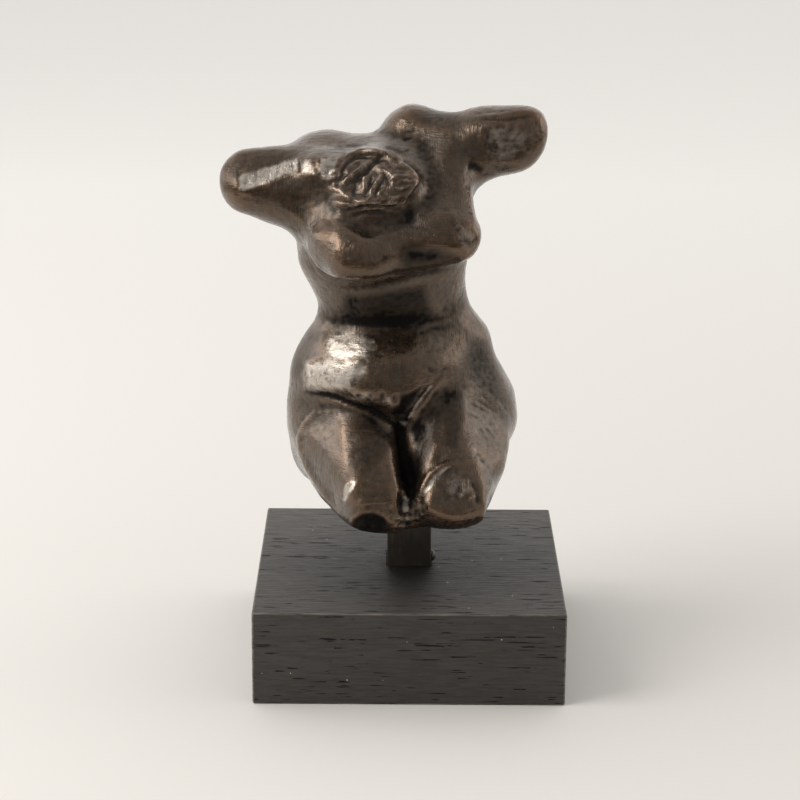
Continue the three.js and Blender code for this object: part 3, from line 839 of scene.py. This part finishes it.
# Painted highlights in pale bronze: belly, arm stumps, groin and breaks.
POLISHED_PATCHES = [
    Patch([(482, 128), (492, 122), (505, 121), (522, 125), (533, 135), (530, 150), (515, 161), (500, 166),
        (486, 160)], 0.55, 14.0),
    Patch([(452, 222), (464, 222), (476, 236), (478, 246), (468, 254), (456, 246)], 0.55, 9.0),
    Patch([(440, 478), (456, 470), (470, 474), (476, 490), (466, 500), (446, 496)], 0.5, 12.0),
    Patch([(328, 334), (345, 331), (364, 332), (374, 338), (378, 350), (368, 360), (350, 362), (332, 362),
        (322, 352)], 1.0, 11.0),
    Patch([(304, 362), (330, 356), (362, 360), (370, 372), (358, 382), (352, 392), (330, 393), (304, 390),
        (302, 376)], 1.0, 11.0),
    Patch([(350, 390), (372, 392), (376, 403), (362, 404), (352, 399)], 0.6, 3.0),
    Patch([(384, 396), (392, 396), (393, 406), (386, 407)], 0.6, 3.0),
    Patch([(430, 383), (434, 386), (424, 398), (414, 413), (409, 421), (407, 418), (415, 404),
        (424, 392)], 0.9, 2.5),
    Patch([(398, 420), (409, 421), (406, 427), (400, 425)], 0.7, 2.0),
    Patch([(237, 175), (262, 168), (285, 160), (298, 157), (299, 172), (284, 176), (268, 184), (250, 190),
        (243, 193), (238, 188)], 1.0, 4.0),
    Patch([(301, 158), (312, 158), (314, 167), (318, 177), (301, 173)], 0.7, 3.0),
    Patch([(320, 157), (340, 156), (336, 168), (330, 181), (322, 180), (318, 168)], 0.9, 3.0),
    Patch([(344, 484), (351, 480), (357, 481), (355, 489), (349, 495), (346, 503), (342, 500),
        (342, 492)], 1.0, 3.0),
    Patch([(422, 493), (428, 481), (436, 472), (448, 465), (456, 463), (448, 470), (438, 478), (432, 488),
        (424, 497)], 0.9, 3.0),
    Patch([(402, 489), (407, 495), (411, 503), (409, 512), (402, 514), (401, 503)], 0.8, 2.5),
    Patch([(392, 517), (408, 517), (414, 522), (400, 521)], 0.8, 2.0),
    Patch([(417, 506), (420, 499), (427, 500), (430, 507), (426, 512), (418, 512)], 0.4, 3.0),
    Patch([(470, 496), (473, 497), (470, 502), (467, 502)], 0.8, 1.5),
]
# Wisps of painted highlight and rubbed patina on the flanks, thighs, belly and arm.
SMEARS = [
    Smear([(474, 391), (486, 395), (498, 403), (508, 416), (512, 432)], 4.4, 0.39),
    Smear([(468, 400), (480, 406), (491, 417), (499, 432)], 3.1, 0.33),
    Smear([(470, 411), (481, 419), (489, 431), (494, 446)], 2.7, 0.29),
    Smear([(467, 424), (476, 431), (484, 444), (488, 460)], 3.1, 0.33),
    Smear([(466, 438), (474, 447), (480, 460), (486, 474)], 2.7, 0.33),
    Smear([(498, 436), (500, 452), (496, 470)], 3.7, 0.26),
    Smear([(306, 420), (300, 436), (302, 455), (310, 474)], 4.1, 0.36),
    Smear([(314, 414), (326, 411), (340, 412)], 3.1, 0.33),
    Smear([(318, 420), (326, 432), (330, 450)], 4.4, 0.26),
    Smear([(430, 333), (442, 330), (452, 332)], 3.4, 0.26),
    Smear([(420, 345), (436, 343), (452, 350)], 4.1, 0.23),
    Smear([(447, 206), (452, 214), (459, 222)], 3.4, 0.33),
    Smear([(461, 238), (467, 246), (470, 255)], 2.7, 0.39),
    Smear([(486, 128), (488, 140), (486, 152)], 3.1, 0.33),
    Smear([(498, 165), (512, 158), (526, 150)], 3.4, 0.29),
    Smear([(323, 290), (330, 304), (332, 318)], 3.7, 0.26),
    Smear([(452, 276), (454, 290), (451, 303)], 3.4, 0.33),
]
# Painted shade and the blackest patina: hips, armpit, clefts, and the folds under bust and belly.
BLACK_PATCHES = [
    Patch([(466, 330), (484, 340), (500, 366), (509, 400), (506, 424), (490, 402), (476, 386),
        (462, 360)], 0.5, 12.0),
    Patch([(296, 334), (312, 322), (320, 338), (308, 358), (300, 384), (290, 378), (290, 352)], 0.35, 8.0),
    Patch([(410, 112), (450, 106), (468, 120), (458, 150), (440, 165), (422, 140)], 0.35, 12.0),
    Patch([(408, 210), (430, 210), (430, 234), (408, 232)], 0.4, 8.0),
    Patch([(218, 163), (235, 163), (236, 190), (222, 192)], 0.4, 6.0),
    Patch([(413, 432), (432, 406), (442, 410), (441, 425), (438, 442), (430, 457), (424, 470), (417, 484),
        (412, 478)], 0.6, 8.0),
    Patch([(343, 408), (352, 408), (358, 450), (353, 480), (345, 480), (349, 450)], 0.4, 4.0),
    Patch([(341, 412), (372, 414), (390, 428), (398, 445), (388, 452), (372, 470), (357, 480), (352, 462),
        (350, 447), (345, 428)], 0.35),
    Patch([(443, 386), (463, 390), (466, 412), (460, 432), (458, 447), (444, 447), (442, 425),
        (440, 400)], 0.45),
    Patch([(394, 426), (403, 430), (409, 448), (414, 468), (417, 482), (411, 496), (405, 480), (400, 462),
        (396, 446)], 0.8, 6.0),
    Patch([(345, 295), (425, 285), (432, 312), (400, 325), (355, 324), (340, 312)], 0.7, 10.0),
    Patch([(398, 250), (414, 243), (440, 247), (455, 256), (448, 265), (420, 272), (400, 272)], 0.6, 13.0),
    Patch([(399, 395), (421, 389), (414, 402), (405, 415), (392, 415), (390, 408), (400, 404)], 0.9, 4.0),
    Patch([(348, 533), (354, 519), (362, 513), (374, 512), (384, 517), (396, 531), (372, 536)], 0.9, 3.0),
]


class Clay:
    """The figure's skin as arrays of points in clay coordinates, and the tools that shape it."""

    # No facet cuts deeper than this, in millimetres.
    deepest_cut = 1.6
    # A stroke grows from its ends over this share of its length, from this share of its depth.
    growth = 0.2
    blunt_end = 0.25
    # A zone's soft rim, as a share of its radius.
    zone_rim = 0.15
    # How much of its rim an outline has outside it.
    outer_rim = 0.35
    # Marks start where the skin turns this far to the camera, as a cosine, and are full after this much more.
    edge_on = 0.02
    turning = 0.2
    # A smoothing step, and the swelling step that makes up for its shrinking.
    smoothing = (0.5, -0.52)
    melting = 0.5
    calming = 0.6

    def __init__(self, mesh: bpy.types.Mesh, sight: Sight) -> None:
        """Reads a mesh.

        Args:
            mesh: The skin, in metres, in the world's place.
            sight: The camera that marks are placed by.
        """
        self.mesh = mesh
        self.sight = sight
        count = len(mesh.vertices)
        flat = np.empty(count * 3)
        mesh.vertices.foreach_get("co", flat)
        self.points = flat.reshape(-1, 3) / MM - [0, 0, FIGURE_FLOOR]
        pairs = np.empty(len(mesh.edges) * 2, dtype=np.int64)
        mesh.edges.foreach_get("vertices", pairs)
        self.edges = pairs.reshape(-1, 2)
        self.valence = np.maximum(np.bincount(pairs, minlength=count), 1)[:, None]
        self.refresh()

    def refresh(self) -> None:
        """Writes the points to the mesh, and reads its normals and places in the picture."""
        world = self.points + [0, 0, FIGURE_FLOOR]
        self.mesh.vertices.foreach_set("co", (world * MM).ravel())
        self.mesh.update()
        flat = np.empty(len(world) * 3)
        self.mesh.vertex_normals.foreach_get("vector", flat)
        self.normals = flat.reshape(-1, 3)
        self.spots = self.sight.spots(world)
        toward = np.array(self.sight.eye) - world
        toward /= np.linalg.norm(toward, axis=1, keepdims=True)
        self.turned = np.clip(((self.normals * toward).sum(axis=1) - self.edge_on) / self.turning, 0, 1)

    def mean_of_neighbours(self, values: np.ndarray) -> np.ndarray:
        """Averages a value over each point's neighbours.

        Args:
            values: One row for each point.

        Returns:
            The averages, one row for each point.
        """
        first, second = self.edges[:, 0], self.edges[:, 1]
        total = np.empty_like(values)
        for column in range(values.shape[1]):
            total[:, column] = np.bincount(first, values[second, column], len(values))
            total[:, column] += np.bincount(second, values[first, column], len(values))
        return total / self.valence

    def smooth(self, passes: int) -> None:
        """Smooths the skin without shrinking it.

        Args:
            passes: How many pairs of a smoothing and a swelling step.
        """
        for _ in range(passes):
            for strength in self.smoothing:
                self.points += strength * (self.mean_of_neighbours(self.points) - self.points)
        self.refresh()

    def within(self, zone: Zone | None) -> np.ndarray:
        """Weighs points by a zone.

        Args:
            zone: The ball, or None for the whole skin.

        Returns:
            One inside the ball, zero outside, with a soft rim.
        """
        if zone is None:
            return np.ones(len(self.points))
        away = np.linalg.norm(self.points - np.array(zone.centre), axis=1)
        return np.clip((zone.radius - away) / (self.zone_rim * zone.radius), 0, 1)

    def beside(self, path: Sequence[Spot]) -> tuple[np.ndarray, np.ndarray]:
        """Measures how points lie to a path in the picture.

        Args:
            path: The path's corners.

        Returns:
            Each point's distance to it, and the share of its length where that is nearest.
        """
        corners = np.array(path, dtype=float)
        lengths = np.linalg.norm(np.diff(corners, axis=0), axis=1)
        total = lengths.sum()
        nearest = np.full(len(self.spots), np.inf)
        share = np.zeros(len(self.spots))
        run = 0.0
        for start, end, length in zip(corners, corners[1:], lengths):
            way = (end - start) / length
            away = self.spots - start
            along = np.clip(away @ way, 0, length)
            gap = np.linalg.norm(away - along[:, None] * way, axis=1)
            closer = gap < nearest
            nearest = np.where(closer, gap, nearest)
            share = np.where(closer, (run + along) / total, share)
            run += length
        return nearest, share

    def taper(self, share: np.ndarray) -> np.ndarray:
        """Gives how far a stroke has grown at each share of its length, from zero at its ends to one."""
        return np.clip(np.minimum(share, 1 - share) / self.growth, 0, 1)

    def press(self, marks: Iterable[Mark], zone: Zone | None = None) -> None:
        """Works marks into the skin.

        Args:
            marks: The marks, in order.
            zone: The ball that they stay in.
        """
        keep = self.within(zone) * self.turned
        move = np.zeros(len(self.points))
        for mark in marks:
            gap, share = self.beside(mark.path)
            ends = self.blunt_end + (1 - self.blunt_end) * self.taper(share)
            shape = np.exp(-((gap / mark.width) ** 2)) * mark.depth
            move += (-shape if mark.tool is Tool.GROOVE else shape) * ends
        self.points += self.normals * (move * keep)[:, None]
        self.refresh()

    def inside(self, facet: Facet | Patch) -> np.ndarray:
        """Weighs points by how far they are inside an outline.

        Args:
            facet: The facet or patch.

        Returns:
            One well inside, zero outside, with an edge as soft as the facet says.
        """
        corners = np.array(facet.outline, dtype=float)
        gap, _ = self.beside([*facet.outline, facet.outline[0]])
        across, down = self.spots[:, 0], self.spots[:, 1]
        odd = np.zeros(len(self.spots), dtype=bool)
        for start, end in zip(corners, np.roll(corners, -1, axis=0)):
            spans = (start[1] > down) != (end[1] > down)
            rise = end[1] - start[1]
            rise = rise if abs(rise) > 1e-9 else 1e-9
            odd ^= spans & (across < start[0] + (down - start[1]) * (end[0] - start[0]) / rise)
        return np.clip(np.where(odd, gap, -gap) / facet.soft + self.outer_rim, 0, 1)

    def flatten(self, facets: Iterable[Facet], zone: Zone | None = None) -> None:
        """Presses facets flat.

        Args:
            facets: The facets, in order.
            zone: The ball that they stay in.
        """
        for facet in facets:
            weight = self.inside(facet) * self.within(zone) * self.turned
            if weight.sum() < 1:
                continue
            centre = (self.points * weight[:, None]).sum(axis=0) / weight.sum()
            spread = (self.points - centre) * np.sqrt(weight)[:, None]
            facing = np.linalg.eigh(spread.T @ spread)[1][:, 0]
            facing *= np.sign((self.normals * weight[:, None]).sum(axis=0) @ facing)
            above = (self.points - centre) @ facing
            drop = np.clip(above * facet.share, -self.deepest_cut, self.deepest_cut) - facet.lift
            self.points -= facing * (drop * weight)[:, None]
            self.refresh()

    def swell(self, swells: Iterable[Swell]) -> None:
        """Raises and lowers the skin by a smooth noise.

        Args:
            swells: The swells, in order.
        """
        for swell in swells:
            keep = self.within(swell.zone)
            start = Vector(swell.start)
            for index in np.nonzero(keep)[0]:
                value = perlin.noise(Vector(self.points[index] / swell.width) + start)
                self.points[index] += self.normals[index] * (value * swell.height * keep[index])
            self.refresh()

    def patched(self, patches: Iterable[Patch]) -> np.ndarray:
        """Weighs points by the patches that cover them.

        Args:
            patches: The patches.

        Returns:
            The strongest patch's strength at each point, from zero to one.
        """
        cover = np.zeros(len(self.points))
        for patch in patches:
            cover = np.maximum(cover, self.inside(patch) * patch.strength)
        return cover * self.turned

    def smeared(self, smears: Iterable[Smear]) -> np.ndarray:
        """Weighs points by the smears that cross them.

        Args:
            smears: The smears.

        Returns:
            The strongest smear's strength at each point, from zero to one.
        """
        cover = np.zeros(len(self.points))
        for smear in smears:
            gap, share = self.beside(smear.path)
            wisp = np.exp(-((gap / smear.width) ** 2)) * self.taper(share)
            cover = np.maximum(cover, wisp * smear.strength)
        return cover * self.turned

    def pull(self, pulls: Iterable[Pull]) -> None:
        """Shifts the clay.

        Args:
            pulls: The pushes, in order.
        """
        for pull in pulls:
            away = np.linalg.norm(self.points - np.array(pull.zone.centre), axis=1) / pull.zone.radius
            weight = np.clip(1 - away**2, 0, 1) ** 2
            self.points += weight[:, None] * np.array(pull.way)
        self.refresh()

    def melt(self, patches: Iterable[Patch], passes: int) -> None:
        """Melts the skin smooth.

        Args:
            patches: Where it melts.
            passes: How many smoothing passes.
        """
        share = self.melting * self.patched(patches)[:, None]
        for _ in range(passes):
            self.points += share * (self.mean_of_neighbours(self.points) - self.points)
        self.refresh()

    def bulge(self, passes: int) -> np.ndarray:
        """Measures how far each point stands out of the skin round it.

        Args:
            passes: How many smoothing passes give the skin that it is compared with.

        Returns:
            The height above it in millimetres, below zero in hollows.
        """
        calm = self.points.copy()
        for _ in range(passes):
            calm += self.calming * (self.mean_of_neighbours(calm) - calm)
        return ((self.points - calm) * self.normals).sum(axis=1)

    def note(self, name: str, values: np.ndarray) -> None:
        """Stores a value for each point as an attribute of the mesh.

        Args:
            name: The attribute's name.
            values: One number for each point.
        """
        attribute = self.mesh.attributes.new(name, "FLOAT", "POINT")
        attribute.data.foreach_set("value", np.clip(values, 0, 1).astype(np.float32))


def finish_piece(piece: bpy.types.Object, material: bpy.types.Material, node: str) -> None:
    """Gives a piece its material and its place in the frame.

    Args:
        piece: The piece.
        material: Its finish.
        node: The CAD node that it stands for.
    """
    piece.data.materials.clear()
    piece.data.materials.append(material)
    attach(piece, "root")
    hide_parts(node)
    LOG.info("%s: %d faces", piece.name, len(piece.data.polygons))


def piece_from(name: str, shape: bmesh.types.BMesh, smooth_angle: float = 40.0) -> bpy.types.Object:
    """Turns a finished bmesh into an object at the origin.

    Args:
        name: The piece's name.
        shape: The bmesh in metres, which is freed.
        smooth_angle: Edges sharper than this many degrees stay sharp.

    Returns:
        The object, linked to the scene.
    """
    for face in shape.faces:
        face.smooth = True
    for edge in shape.edges:
        if len(edge.link_faces) == 2 and edge.calc_face_angle() > math.radians(smooth_angle):
            edge.smooth = False
    mesh = bpy.data.meshes.new(name)
    shape.to_mesh(mesh)
    shape.free()
    piece = bpy.data.objects.new(name, mesh)
    bpy.context.scene.collection.objects.link(piece)
    return piece


def box_between(low: np.ndarray, high: np.ndarray) -> bmesh.types.BMesh:
    """Starts a bmesh as a box.

    Args:
        low: Its lowest corner.
        high: Its highest corner.

    Returns:
        The bmesh.
    """
    shape = bmesh.new()
    bmesh.ops.create_cube(shape, size=1.0)
    bmesh.ops.scale(shape, vec=Vector(high - low), verts=shape.verts)
    bmesh.ops.translate(shape, vec=Vector((high + low) / 2), verts=shape.verts)
    return shape


def ease(
    shape: bmesh.types.BMesh,
    edges: Sequence[bmesh.types.BMEdge],
    width: float,
    segments: int = 3,
) -> None:
    """Rounds edges over.

    Args:
        shape: The bmesh.
        edges: Its edges to round.
        width: How far the rounding reaches from each edge.
        segments: How many flats the rounding has.
    """
    bmesh.ops.bevel(
        shape,
        geom=edges,
        offset=width,
        affect="EDGES",
        segments=segments,
        profile=0.5,
        material=-1,
    )


@dataclass
class Plinth:
    """The wooden block, which fills its CAD node's box and keeps a mortise for the post."""

    arris: float = 0.8
    clearance: float = 0.3
    finish: StainedHardwood = field(default_factory=StainedHardwood)

    def build(self) -> bpy.types.Object:
        """Builds the block.

        Returns:
            The block.
        """
        low, high = (np.array(corner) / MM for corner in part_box("plinth"))
        post_low, _ = (np.array(corner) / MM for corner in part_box("post"))
        shape = box_between(low, high)
        top = max(shape.faces, key=lambda face: face.calc_center_median().z)
        rim = post_low[0] - self.clearance - low[0]
        depth = high[2] - post_low[2] + self.clearance
        bmesh.ops.inset_region(shape, faces=[top], thickness=rim, use_even_offset=True)
        pushed = bmesh.ops.extrude_face_region(shape, geom=[top])
        walls = [part for part in pushed["geom"] if isinstance(part, bmesh.types.BMVert)]
        bmesh.ops.translate(shape, vec=Vector((0, 0, -depth)), verts=walls)
        bmesh.ops.delete(shape, geom=[top], context="FACES")
        outside = {vert for vert in shape.verts if max(abs(vert.co.x), abs(vert.co.y)) > high[0] - TOUCH}
        ease(shape, [edge for edge in shape.edges if outside.issuperset(edge.verts)], self.arris)
        bmesh.ops.recalc_face_normals(shape, faces=shape.faces)
        arris = shape.verts.layers.float.new("arris")
        for vert in shape.verts:
            sunk = np.minimum(np.array(vert.co) - low, high - np.array(vert.co))
            vert[arris] = float(TOUCH < sunk.min() < self.arris)
        bmesh.ops.scale(shape, vec=Vector((MM, MM, MM)), verts=shape.verts)
        piece = piece_from("wooden_block", shape)
        finish_piece(piece, self.finish.material(), "plinth")
        return piece


@dataclass
class Post:
    """The square bar that carries the figure, and the round-headed pin in its side."""

    edge: float = 0.7
    shank: float = 1.0
    dome_rise: float = 1.7
    dome_steps: int = 6
    turns: int = 40
    finish: BlackenedSteel = field(default_factory=BlackenedSteel)

    def build(self) -> tuple[bpy.types.Object, bpy.types.Object]:
        """Builds the bar and the pin.

        Returns:
            Both pieces.
        """
        steel = self.finish.material()
        bar, pin = self._bar(), self._pin()
        finish_piece(bar, steel, "post")
        finish_piece(pin, steel, "post_pin")
        return bar, pin

    def _bar(self) -> bpy.types.Object:
        """Builds the bar with its eased edges.

        Returns:
            The bar.
        """
        shape = box_between(*(np.array(corner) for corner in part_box("post")))
        ease(shape, shape.edges, self.edge * MM)
        return piece_from("square_post", shape)

    def _pin(self) -> bpy.types.Object:
        """Builds the pin: a straight shank and a domed head, spun about its length.

        Returns:
            The pin.
        """
        low, high = (np.array(corner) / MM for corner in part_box("post_pin"))
        middle = Vector((0, (low[1] + high[1]) / 2, (low[2] + high[2]) / 2))
        head = (high[2] - low[2]) / 2
        shoulder = high[0] - self.dome_rise
        profile = [(low[0], 0.0), (low[0], self.shank), (shoulder, self.shank), (shoulder, head)]
        for step in range(1, self.dome_steps + 1):
            turn = step / self.dome_steps * math.pi / 2
            profile.append((shoulder + self.dome_rise * math.sin(turn), head * math.cos(turn)))
        shape = bmesh.new()
        corners = [shape.verts.new(middle + Vector((along, 0, away))) for along, away in profile]
        edges = [shape.edges.new(pair) for pair in zip(corners, corners[1:])]
        bmesh.ops.spin(
            shape,
            geom=corners + edges,
            cent=middle,
            axis=(1, 0, 0),
            angle=math.tau,
            steps=self.turns,
            use_merge=True,
        )
        bmesh.ops.remove_doubles(shape, verts=shape.verts, dist=TOUCH)
        bmesh.ops.recalc_face_normals(shape, faces=shape.faces)
        bmesh.ops.scale(shape, vec=Vector((MM, MM, MM)), verts=shape.verts)
        return piece_from("domed_pin", shape)


@dataclass
class Figure:
    """The bronze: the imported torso, remeshed fine, with the marks of its making."""

    voxel: float = 0.84
    join_angle: float = 60.0
    join_skew: float = 80.0
    even_passes: int = 6
    melt_passes: int = 24
    last_passes: int = 1
    fine_passes: int = 6
    broad_passes: int = 60
    fine_black: Stain = Stain(0.6, 0.12)
    broad_black: Stain = Stain(0.7, 1.2)
    fine_rubbed: Stain = Stain(0.3, 0.12)
    broad_rubbed: Stain = Stain(0.25, 1.5)
    torn_rims: Stain = Stain(0.5, 0.2)
    torn_bare: float = 0.45
    neck: Zone = Zone((-14, -37, 142), 20)
    work: tuple[tuple[list[Facet], list[Mark], Zone | None], ...] = (
        (ARM_FACETS, ARM_MARKS, None),
        (BUST_FACETS, BUST_MARKS, None),
        (BELLY_FACETS, BELLY_MARKS, None),
        (THIGH_FACETS, THIGH_MARKS, None),
        ([], NECK_MARKS, Zone((-11, -34, 138), 27)),
    )
    finish: CastBronze = field(default_factory=CastBronze)
    sight: Sight = field(default_factory=Sight)

    def build(self) -> bpy.types.Object:
        """Builds the bronze.

        Returns:
            The finished figure.
        """
        piece = self._skin()
        clay = Clay(piece.data, self.sight)
        clay.smooth(self.even_passes)
        clay.pull(PULLS)
        clay.melt(MELTED_PATCHES, self.melt_passes)
        clay.swell(HAND_SWELLS)
        for facets, marks, zone in self.work:
            clay.flatten(facets, zone)
            clay.press(marks, zone)
        clay.swell(TOOL_SWELLS)
        clay.smooth(self.last_passes)
        self._stain(clay)
        finish_piece(piece, self.finish.material(), "torso")
        return piece

    def _skin(self) -> bpy.types.Object:
        """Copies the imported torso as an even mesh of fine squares.

        Returns:
            The new object.
        """
        shape = bmesh.new()
        shape.from_mesh(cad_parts["torso"].data)
        bmesh.ops.remove_doubles(shape, verts=shape.verts, dist=TOUCH * MM)
        bmesh.ops.join_triangles(
            shape,
            faces=shape.faces,
            angle_face_threshold=math.radians(self.join_angle),
            angle_shape_threshold=math.radians(self.join_skew),
        )
        piece = piece_from("bronze_torso", shape, 180.0)
        rounded = piece.modifiers.new("rounded", "SUBSURF")
        rounded.levels = 2
        rounded.render_levels = 2
        even = piece.modifiers.new("even", "REMESH")
        even.mode = "VOXEL"
        even.voxel_size = self.voxel * MM
        shaped = piece.evaluated_get(bpy.context.evaluated_depsgraph_get())
        mesh = bpy.data.meshes.new_from_object(shaped)
        piece.modifiers.clear()
        piece.data = mesh
        for polygon in mesh.polygons:
            polygon.use_smooth = True
        return piece

    def _stain(self, clay: Clay) -> None:
        """Notes where the patina stays black, where it is rubbed, and where shade and highlights are painted.

        Args:
            clay: The finished skin.
        """
        fine, broad = clay.bulge(self.fine_passes), clay.bulge(self.broad_passes)
        torn = clay.within(self.neck)
        sunk = self.fine_black.of(-fine) + self.broad_black.of(-broad)
        # Black patina in hollows, with painted shade laid over it.
        clay.note("hollow", sunk * (1 - self.torn_bare * torn) + clay.patched(BLACK_PATCHES))
        # Pale painted highlights and smears, and wear on the neck's torn rims.
        worn = np.maximum(clay.patched(POLISHED_PATCHES), clay.smeared(SMEARS))
        clay.note("worn", np.maximum(worn, self.torn_rims.of(fine) * torn))
        clay.note("rubbed", self.fine_rubbed.of(fine) + self.broad_rubbed.of(broad))


@dataclass(frozen=True)
class Softbox:
    """A large rectangular light that faces the bronze.

    Azimuth runs from the camera's side, to the right when above zero, and elevation is above the level, both
    in degrees. Sizes are in metres, and radiance is the brightness of its face.
    """

    name: str
    azimuth: float
    elevation: float
    distance: float
    width: float
    height: float
    radiance: float
    colour: str = "#fffbf6"

    def build(self, aim: Vector) -> bpy.types.Object:
        """Hangs the light.

        Args:
            aim: The point that it faces.

        Returns:
            The light.
        """
        azimuth, elevation = math.radians(self.azimuth), math.radians(self.elevation)
        level = math.cos(elevation)
        way = Vector((math.sin(azimuth) * level, -math.cos(azimuth) * level, math.sin(elevation)))
        data = bpy.data.lights.new(self.name, "AREA")
        data.shape = "RECTANGLE"
        data.size = self.width
        data.size_y = self.height
        data.energy = math.pi * self.width * self.height * self.radiance
        data.color = linear(self.colour)[:3]
        light = bpy.data.objects.new(self.name, data)
        turn = (-way).to_track_quat("-Z", "Y").to_matrix().to_4x4()
        light.matrix_world = Matrix.Translation(aim + way * self.distance) @ turn
        bpy.context.scene.collection.objects.link(light)
        return light


@dataclass(frozen=True)
class Wall:
    """A pale wall: the axis it stands across, where on it the glow starts and is full, and its radiance."""

    axis: str
    start: float
    full: float
    radiance: float


@dataclass
class Studio:
    """The pale floor, the soft lights and the camera."""

    sight: Sight = field(default_factory=Sight)
    floor_size: float = 16.0
    paper: PaleFloor = field(default_factory=PaleFloor)
    softboxes: tuple[Softbox, ...] = (
        Softbox("key_softbox", -68, 38, 1.1, 0.6, 0.6, 5.1),
        Softbox("left_softbox", -100, 16, 1.2, 0.7, 0.5, 2.1),
        Softbox("right_softbox", 95, 20, 1.3, 0.7, 0.7, 1.15),
    )
    room: float = 0.25
    backdrop: float = 0.82
    wall_colour: str = "#fffcf9"
    walls: tuple[Wall, ...] = (
        Wall("X", -0.2, -0.9, 0.62),
        Wall("X", 0.2, 0.9, 0.42),
        Wall("Y", -0.1, 0.9, 0.85),
        Wall("Z", 0.3, 1.0, 0.14),
    )
    aim: Point = (0, 0, 0.13)

    def build(self) -> None:
        """Builds the floor, the lights and the camera."""
        self.sight.camera()
        shape = bmesh.new()
        bmesh.ops.create_grid(shape, x_segments=1, y_segments=1, size=self.floor_size / 2)
        floor = piece_from("floor", shape)
        floor.data.materials.append(self.paper.material())
        self._world()
        for softbox in self.softboxes:
            softbox.build(Vector(self.aim))
        bpy.context.scene.view_settings.view_transform = "Standard"

    def _world(self) -> None:
        """Surrounds the object with pale walls, and a dim room behind the camera."""
        world = bpy.data.worlds.new("studio")
        bpy.context.scene.world = world
        world.use_nodes = True
        tree = world.node_tree
        tree.nodes.clear()
        add = partial(add_node, tree)
        parts = {axis: add("SeparateXYZ", {0: add("TexCoord", output="Generated")}, axis) for axis in "XYZ"}
        glow = self.room
        for wall in self.walls:
            reach = {"From Min": wall.start, "From Max": wall.full, "To Max": wall.radiance}
            lit = add("MapRange", {"Value": parts[wall.axis]} | reach)
            glow = add("Math", {0: glow, 1: lit}, operation="ADD")
        seen = add("LightPath", output="Is Camera Ray")
        seen = add("Math", {0: seen, 1: self.backdrop}, operation="MULTIPLY")
        glow = add("Math", {0: glow, 1: seen}, operation="MAXIMUM")
        sky = add("Background", {"Color": linear(self.wall_colour), "Strength": glow})
        add("OutputWorld", {"Surface": sky})


def main() -> None:
    """Builds the scene."""
    logging.basicConfig(level=logging.INFO, format="%(name)s %(message)s")
    Studio().build()
    Plinth().build()
    Post().build()
    Figure().build()


if __name__ == "__main__":
    main()
